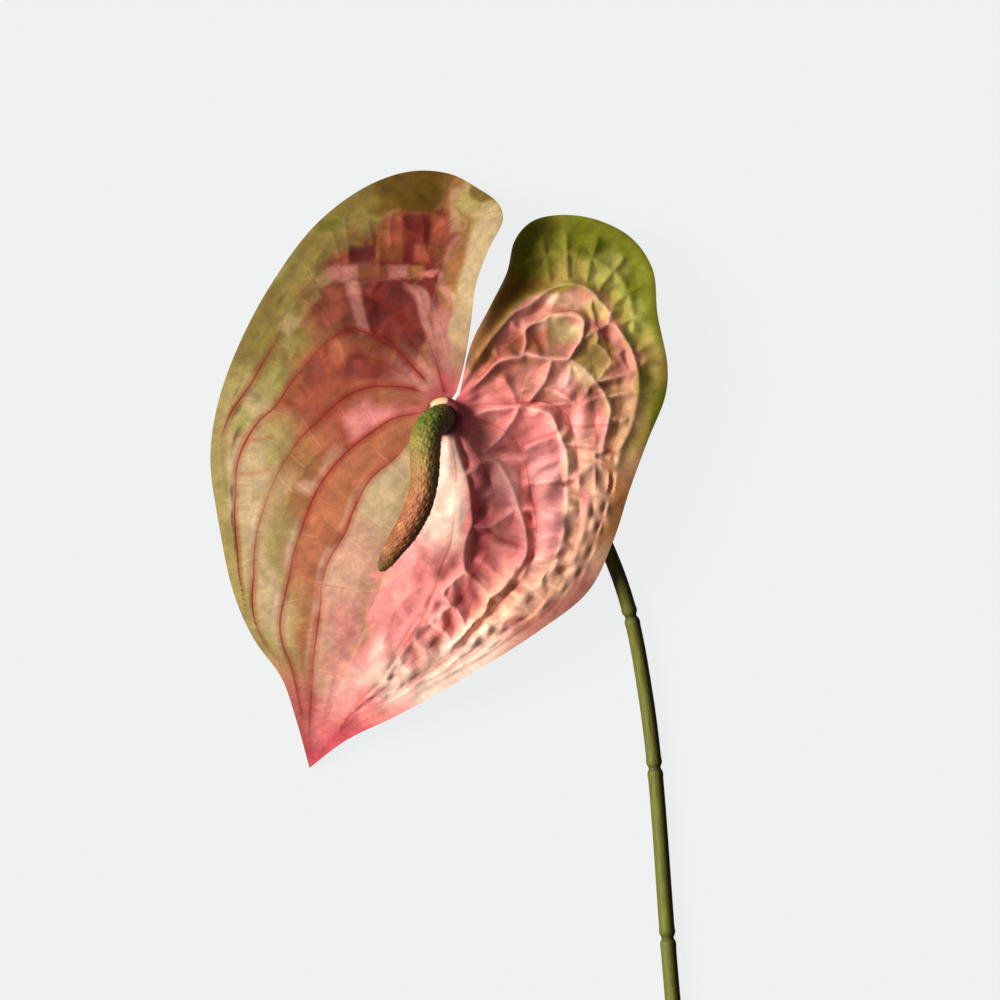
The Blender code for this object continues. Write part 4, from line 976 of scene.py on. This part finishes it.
def fleshy_ring():
    """Fleshy plant tissue, smooth and slightly moist: dark red, and cream where the lip is marked on its
    upper left; that cream is partly its own colour and partly a painted highlight, and the dark red round the
    rest is partly painted shade.
    """
    material, tree, shader = new_material("fleshy_collar_tissue", Roughness=0.42, IOR=1.42)
    place = node(tree, "TexCoord").outputs["Object"]
    spot_size = 1 / 0.6         # mm
    spots = node(tree, "TexNoise", {"Vector": place, "Scale": 1 / (spot_size * MM), "Detail": 4.0})
    lip = node(tree, "Attribute", attribute_name="lip").outputs["Fac"]
    uneven = node(tree, "Math", {0: spots, 1: 0.35, 2: lip}, operation="MULTIPLY_ADD")
    lip = node(tree, "MapRange", {0: uneven, 1: 0.5, 2: 0.9}, interpolation_type="SMOOTHSTEP")
    # cream where the lip faces the light, partly a painted highlight; dark red elsewhere, partly painted
    # shade
    colour = node(tree, "MixRGB", {0: lip, 1: "#6A201E", 2: "#C2A06A"})
    tree.links.new(colour.outputs[0], shader.inputs["Base Color"])
    bump = node(tree, "Bump", {"Height": spots, "Strength": 0.3, "Distance": 0.3 * MM})
    tree.links.new(bump.outputs[0], shader.inputs["Normal"])
    return material


collar_high = np.array(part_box("spadix_collar")[1]) / MM
rise, radii = np.array(COLLAR_PROFILE).T
path = np.r_[BASE + COLLAR_PLACE, 0.0] + COLLAR_AXIS * rise[:, None]
rings = sweep(path, radii, COLLAR_SIDES, (1, 0, 0))
settle = np.array([0, 0, collar_high[2] - rings[..., 2].max()])
collar = new_piece("spadix_seat", (rings + settle).reshape(-1, 3), tube_faces(len(path), COLLAR_SIDES),
                   [fleshy_ring()])
# the cream lies on the upper left of the lip, towards the light: a painted highlight over its own cream
heading = np.arctan2(rings[..., 1] - path[:, None, 1], rings[..., 0] - path[:, None, 0])
towards = ramp(np.cos(heading - math.radians(CREAM_HEADING)), 0.72, 0.98)
paint(collar, "lip", (towards * ramp(rise / rise[-1], 0.45, 0.8)[:, None]).ravel())
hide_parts("spadix_collar")
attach(collar, "root")

# ---------------------------------------------------------------------------------------------
# Spadix. A fleshy finger covered all round with tiny florets in spirals, each a low knob with its
# stigma as a dot. It ripens from the seat up: green, then gold, then red-brown to a dry olive tip.

SPADIX_ROUTE = [(0.0, 0.0, 0.0), (-0.9, -0.6, 2.6), (-2.9, -1.9, 5.4), (-4.7, -5.4, 8.2), (-5.1, -11.4, 10.4),
                (-5.2, -18.0, 11.6), (-6.6, -25.2, 12.2), (-10.2, -33.0, 11.8), (-14.4, -39.3, 10.6),
                (-18.6, -45.9, 8.6)]
# Share of the length, and radius in mm
SPADIX_RADII = [(0, 4.1), (0.1, 4.4), (0.25, 4.7), (0.45, 4.2), (0.65, 4), (0.8, 3.5), (0.93, 2.5),
                (0.985, 1.5), (1, 0.5)]
SPADIX_SIDES = 132
SPADIX_RINGS = 360
FLORETS_ROUND = 14          # in each of two rows that mesh, so 28 round
FLORET_PITCH = 1.8          # mm along the finger between rows of one kind
FLORET_HEIGHT = 0.04
STIGMA_HEIGHT = 0.08
GRAIN_HEIGHT = 0.13         # of the uneven grains over the florets
GRAIN_SIZE = 0.7            # mm
GRAIN_RADIUS = 3.8          # mm, at which the grains are laid out round the finger


def floret_skin():
    """Matt knobbly plant tissue with a speck of pale pollen on the knobs, ripening along the finger, with
    painted shade in the gaps between the knobs and on the side away from the lamp.
    """
    material, tree, shader = new_material("floret_tissue", Roughness=0.58, IOR=1.42)
    place = node(tree, "TexCoord").outputs["Object"]
    speck_size, patch_size = 1 / 1.5, 1 / 0.16       # mm
    specks = node(tree, "TexNoise", {"Vector": place, "Scale": 1 / (speck_size * MM), "Detail": 2.0})
    patchy = node(tree, "TexNoise", {"Vector": place, "Scale": 1 / (patch_size * MM), "Detail": 3.0})
    ripe = node(tree, "Attribute", attribute_name="ripe").outputs["Fac"]
    knob = node(tree, "Attribute", attribute_name="knob").outputs["Fac"]
    ripe = node(tree, "Math", {0: patchy, 1: 0.16, 2: ripe}, operation="MULTIPLY_ADD")
    ripe = node(tree, "Math", {0: ripe, 1: 0.08}, operation="SUBTRACT")
    stages = node(tree, "ValToRGB", {0: ripe})
    colours = [(0.0, "#47540F"), (0.16, "#5E6A18"), (0.28, "#857226"), (0.42, "#9A6A32"), (0.58, "#A05A32"),
               (0.78, "#964C22"), (0.9, "#8E5220"), (0.97, "#5E4A14"), (1.0, "#4A4A18")]
    while len(stages.color_ramp.elements) < len(colours):
        stages.color_ramp.elements.new(0.5)
    for element, (position, code) in zip(stages.color_ramp.elements, colours):
        element.position = position
        element.color = (*linear(code), 1)
    # painted shade in the gaps between the knobs
    shade = node(tree, "MapRange", {0: knob, 1: 0.0, 2: 1.0, 3: 0.28, 4: 0.0})
    colour = node(tree, "MixRGB", {0: shade, 1: stages, 2: "#3A2A12"})
    pollen = node(tree, "Math", {0: knob, 1: specks}, operation="MULTIPLY")
    pollen = node(tree, "MapRange", {0: pollen, 1: 0.4, 2: 0.6, 3: 0.0, 4: 0.4})
    colour = node(tree, "MixRGB", {0: pollen, 1: colour, 2: "#C9A45E"})
    # painted shade on the side away from the lamp
    painted_shade_side = node(tree, "Attribute", attribute_name="painted_shade_side").outputs["Fac"]
    painted_shade_side = node(tree, "Math", {0: painted_shade_side, 1: 0.75}, operation="MULTIPLY")
    colour = node(tree, "MixRGB", {0: painted_shade_side, 1: colour, 2: "#2C2A0A"})
    tree.links.new(colour.outputs[0], shader.inputs["Base Color"])
    bump = node(tree, "Bump", {"Height": specks, "Strength": 0.5, "Distance": 0.3 * MM})
    tree.links.new(bump.outputs[0], shader.inputs["Normal"])
    return material


route = smooth_curve(np.vstack([-COLLAR_AXIS * 0.5, SPADIX_ROUTE]), 900)
route = route[np.argmin(np.linalg.norm(route, axis=1)):]
share = np.linspace(0, 1, SPADIX_RINGS)
path = along(route, share)
radii = np.interp(share, *np.array(SPADIX_RADII).T)
run = share[:, None] * arc_lengths(route)[-1] / FLORET_PITCH
turn = np.arange(SPADIX_SIDES)[None] / SPADIX_SIDES * FLORETS_ROUND + run * 0.3
lattice = 0.5 + 0.5 * np.cos(2 * np.pi * turn) * np.cos(2 * np.pi * run)
lattice = np.clip(lattice + 0.4 * wander(turn * 1.7, run * FLORET_PITCH, 2.4, 62), 0, 1)
knob = lattice**1.3
fullness = np.clip(radii / 4.0, 0, 1)[:, None]
around = 2 * np.pi * np.arange(SPADIX_SIDES)[None] / SPADIX_SIDES + 0 * run
# two fields, each with its seam where the other is at full strength
grains = [wander(GRAIN_RADIUS * angle, run * FLORET_PITCH, GRAIN_SIZE, 61)
          for angle in (around, (around + np.pi) % (2 * np.pi))]
grains = grains[0] * (0.5 - 0.5 * np.cos(around)) + grains[1] * (0.5 + 0.5 * np.cos(around))
bumps = fullness * (FLORET_HEIGHT * knob + STIGMA_HEIGHT * lattice**14 + GRAIN_HEIGHT * grains)
rings = sweep(path, radii[:, None] - 0.1 + bumps, SPADIX_SIDES, (1, 0, 0))
spadix_low, spadix_high = (np.array(corner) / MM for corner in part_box("spadix"))
middle = (rings.reshape(-1, 3).max(0) + rings.reshape(-1, 3).min(0)) / 2
settle = (spadix_low + spadix_high) / 2 - middle
spadix = new_piece("spadix_florets", (rings + settle).reshape(-1, 3), tube_faces(SPADIX_RINGS, SPADIX_SIDES),
                   [floret_skin()])
paint(spadix, "ripe", np.repeat(share, SPADIX_SIDES))
paint(spadix, "knob", knob.ravel())
# the side away from the lamp, which its material darkens as painted shade
outward = rings - path[:, None]
outward = outward[..., 0] / np.linalg.norm(outward, axis=2)
paint(spadix, "painted_shade_side", ramp(outward, -0.1, 0.9).ravel())
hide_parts("spadix")
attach(spadix, "root")

# ---------------------------------------------------------------------------------------------
# Stem. One long smooth stalk, thicker at the cut end, ringed by shallow grooves at an even pitch. It
# lies flat on the table and its neck rises behind the blade to the notch.

STEM_ROUTE = [(79.5, -389.7), (78.6, -365.7), (76.5, -326.7), (73.5, -262.8), (70.2, -211.2), (66.0, -159.9),
              (62.1, -108.6), (59.1, -84.9), (54.9, -62.7), (48.9, -44.7), (39.9, -26.9), (28.4, -12.4),
              (15.9, -2.9), (6.0, -0.6), (1.2, 0.0), (0.0, 0.0)]
STEM_RISE = [0, 0, 0, 0, 0, 0, 0, 0.01, 0.06, 0.17, 0.30, 0.42, 0.53, 0.65, 0.82, 1.0]
STEM_RADIUS_CUT_END = 2.6
STEM_RADIUS_NECK = 2.15
STEM_SIDES = 40
STEM_STEP = 1.5             # mm between rings away from the grooves
LYING_SHARE = math.cos(math.pi / 14)        # how far the stem's middle lies over its flat, in radii
RING_PLACES = np.array([24.5 + 51.5 * count for count in range(6)] + [328.5, 374.0])
RING_HALF_WIDTH = 1.4
RING_DEPTH = 0.5


def stalk_skin():
    """Green stalk skin: smooth and slightly waxy, with long pale fibres, darkened to brown in the ring
    grooves and to near black on the side away from the lamp, both painted shade.
    """
    material, tree, shader = new_material("waxy_stalk_skin", Roughness=0.5, IOR=1.45, Specular_IOR_Level=0.2)
    run = node(tree, "Attribute", attribute_name="run").outputs["Fac"]
    turn = node(tree, "Attribute", attribute_name="turn").outputs["Fac"]
    groove_painted_shade = node(tree, "Attribute", attribute_name="groove_painted_shade").outputs["Fac"]
    place = node(tree, "TexCoord").outputs["Object"]
    fibre_width, fibre_stretch, patch_size = 1 / 3, 20, 1 / 0.09       # mm, times as long, mm
    long_way = node(tree, "Math", {0: run, 1: 1 / fibre_stretch}, operation="MULTIPLY")
    fibre_place = node(tree, "CombineXYZ", {0: long_way, 1: turn, 2: 0.0})
    fibres = node(tree, "TexNoise", {"Vector": fibre_place, "Scale": 1 / fibre_width, "Detail": 4.0,
                                     "Roughness": 0.6})
    patchy = node(tree, "TexNoise", {"Vector": place, "Scale": 1 / (patch_size * MM), "Detail": 4.0})
    blend = node(tree, "MapRange", {0: fibres, 1: 0.35, 2: 0.7})
    colour = node(tree, "MixRGB", {0: blend, 1: "#4E4C12", 2: "#70702A"})
    tan = node(tree, "MapRange", {0: patchy, 1: 0.5, 2: 0.75, 3: 0.0, 4: 0.5})
    colour = node(tree, "MixRGB", {0: tan, 1: colour, 2: "#5A4A1C"})
    # painted shade: darker in the ring grooves
    colour = node(tree, "MixRGB", {0: groove_painted_shade, 1: colour, 2: "#3E3C16"})
    # painted shade on the side away from the lamp
    painted_shade_side = node(tree, "Attribute", attribute_name="painted_shade_side").outputs["Fac"]
    painted_shade_side = node(tree, "Math", {0: painted_shade_side, 1: 0.85}, operation="MULTIPLY")
    colour = node(tree, "MixRGB", {0: painted_shade_side, 1: colour, 2: "#1E1C06"})
    tree.links.new(colour.outputs[0], shader.inputs["Base Color"])
    bump = node(tree, "Bump", {"Height": fibres, "Strength": 0.25, "Distance": 0.3 * MM})
    tree.links.new(bump.outputs[0], shader.inputs["Normal"])
    return material


stem_high = np.array(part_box("stem")[1]) / MM
heights = np.asarray(STEM_RISE) * (stem_high[2] - STEM_RADIUS_NECK)
route = smooth_curve(np.c_[np.asarray(STEM_ROUTE) + BASE, heights], 3000)
length = arc_lengths(route)
even = np.arange(0, length[-1] - 0.6, STEM_STEP)
near_groove = (RING_PLACES[:, None] + RING_HALF_WIDTH * np.linspace(-1.5, 1.5, 13)).ravel()
even = even[np.min(np.abs(even[:, None] - near_groove), axis=1) > 0.5]
places = np.sort(np.r_[even, near_groove, length[-1]])
path = np.stack([np.interp(places, length, axis) for axis in route.T], axis=1)
taper = np.interp(places, [0, length[-1]], [STEM_RADIUS_CUT_END, STEM_RADIUS_NECK])
path[:, 2] += taper * LYING_SHARE
nearest = np.min(np.abs(places[:, None] - RING_PLACES), axis=1) / RING_HALF_WIDTH
waist = 0.5 + 0.5 * np.cos(np.pi * np.clip(nearest, 0, 1))
swell = 0.12 * np.exp(-((nearest - 1.5) / 0.5) ** 2)
rings = sweep(path, taper - RING_DEPTH * waist + swell, STEM_SIDES, (-1, 0, 0))
rings[..., 2] = np.clip(rings[..., 2], 0, stem_high[2])
stem = new_piece("ringed_stalk", rings.reshape(-1, 3), tube_faces(len(path), STEM_SIDES), [stalk_skin()])
paint(stem, "run", np.repeat(places, STEM_SIDES))
paint(stem, "turn", np.tile(np.abs(np.linspace(-8, 8, STEM_SIDES)), len(places)))
# where the grooves take their painted shade
paint(stem, "groove_painted_shade", np.repeat(waist * 0.8, STEM_SIDES))
# the side away from the lamp, darkened as painted shade
outward = rings[..., 0] - path[:, None, 0]
paint(stem, "painted_shade_side", ramp(outward / np.abs(outward).max(), -0.1, 0.7).ravel())
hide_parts("stem")
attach(stem, "root")

# ---------------------------------------------------------------------------------------------
# Table, light and camera. A pale matt table, one soft lamp low on the left, and a long lens above.

FRAME_WIDTH = 0.3           # metres across the view, at FOCUS_HEIGHT
FOCUS_HEIGHT = 0.025
CAMERA_HEIGHT = 3.0
FRAME_CENTRE = (0.0109, 0.1311)
SENSOR_WIDTH = 36.0         # mm
TABLE_SIDE = 8.0
TABLE_DROP = 0.0002         # below the flower, so that the two never share a plane
TABLE_GLOW = 0.84
LAMP_STRENGTH = 6.2
LAMP_SPREAD = 28            # degrees, as are the next two
LAMP_TILT, LAMP_LEAN = -10, -49
ROOM_LIGHT = 0.14

bpy.ops.mesh.primitive_plane_add(size=TABLE_SIDE, location=(0, 0, -TABLE_DROP))
table = bpy.context.object
table.name = "table"
material, tree, shader = new_material("pale_matt_table", Base_Color=(0.03, 0.03, 0.03, 1), Roughness=1.0)
shader.inputs["Specular IOR Level"].default_value = 0.0
shader.inputs["Emission Color"].default_value = (0.985, 0.995, 1.0, 1)
shader.inputs["Emission Strength"].default_value = TABLE_GLOW
table.data.materials.append(material)
table.visible_diffuse = False
table.visible_glossy = False

lamp = bpy.data.lights.new("window_light", "SUN")
lamp.energy = LAMP_STRENGTH
lamp.angle = math.radians(LAMP_SPREAD)
lamp_object = bpy.data.objects.new("window_light", lamp)
lamp_object.rotation_euler = (math.radians(LAMP_TILT), math.radians(LAMP_LEAN), 0)
bpy.context.collection.objects.link(lamp_object)

world = bpy.data.worlds.new("room")
bpy.context.scene.world = world
world.use_nodes = True
world.node_tree.nodes["Background"].inputs[0].default_value = (0.95, 0.97, 1.0, 1)
world.node_tree.nodes["Background"].inputs[1].default_value = ROOM_LIGHT

bpy.context.scene.view_settings.view_transform = "Standard"

camera = bpy.data.cameras.new("camera")
camera.sensor_width = SENSOR_WIDTH
camera.lens = SENSOR_WIDTH * (CAMERA_HEIGHT - FOCUS_HEIGHT) / FRAME_WIDTH
camera_object = bpy.data.objects.new("camera", camera)
camera_object.location = (*FRAME_CENTRE, CAMERA_HEIGHT)
bpy.context.collection.objects.link(camera_object)
bpy.context.scene.camera = camera_object
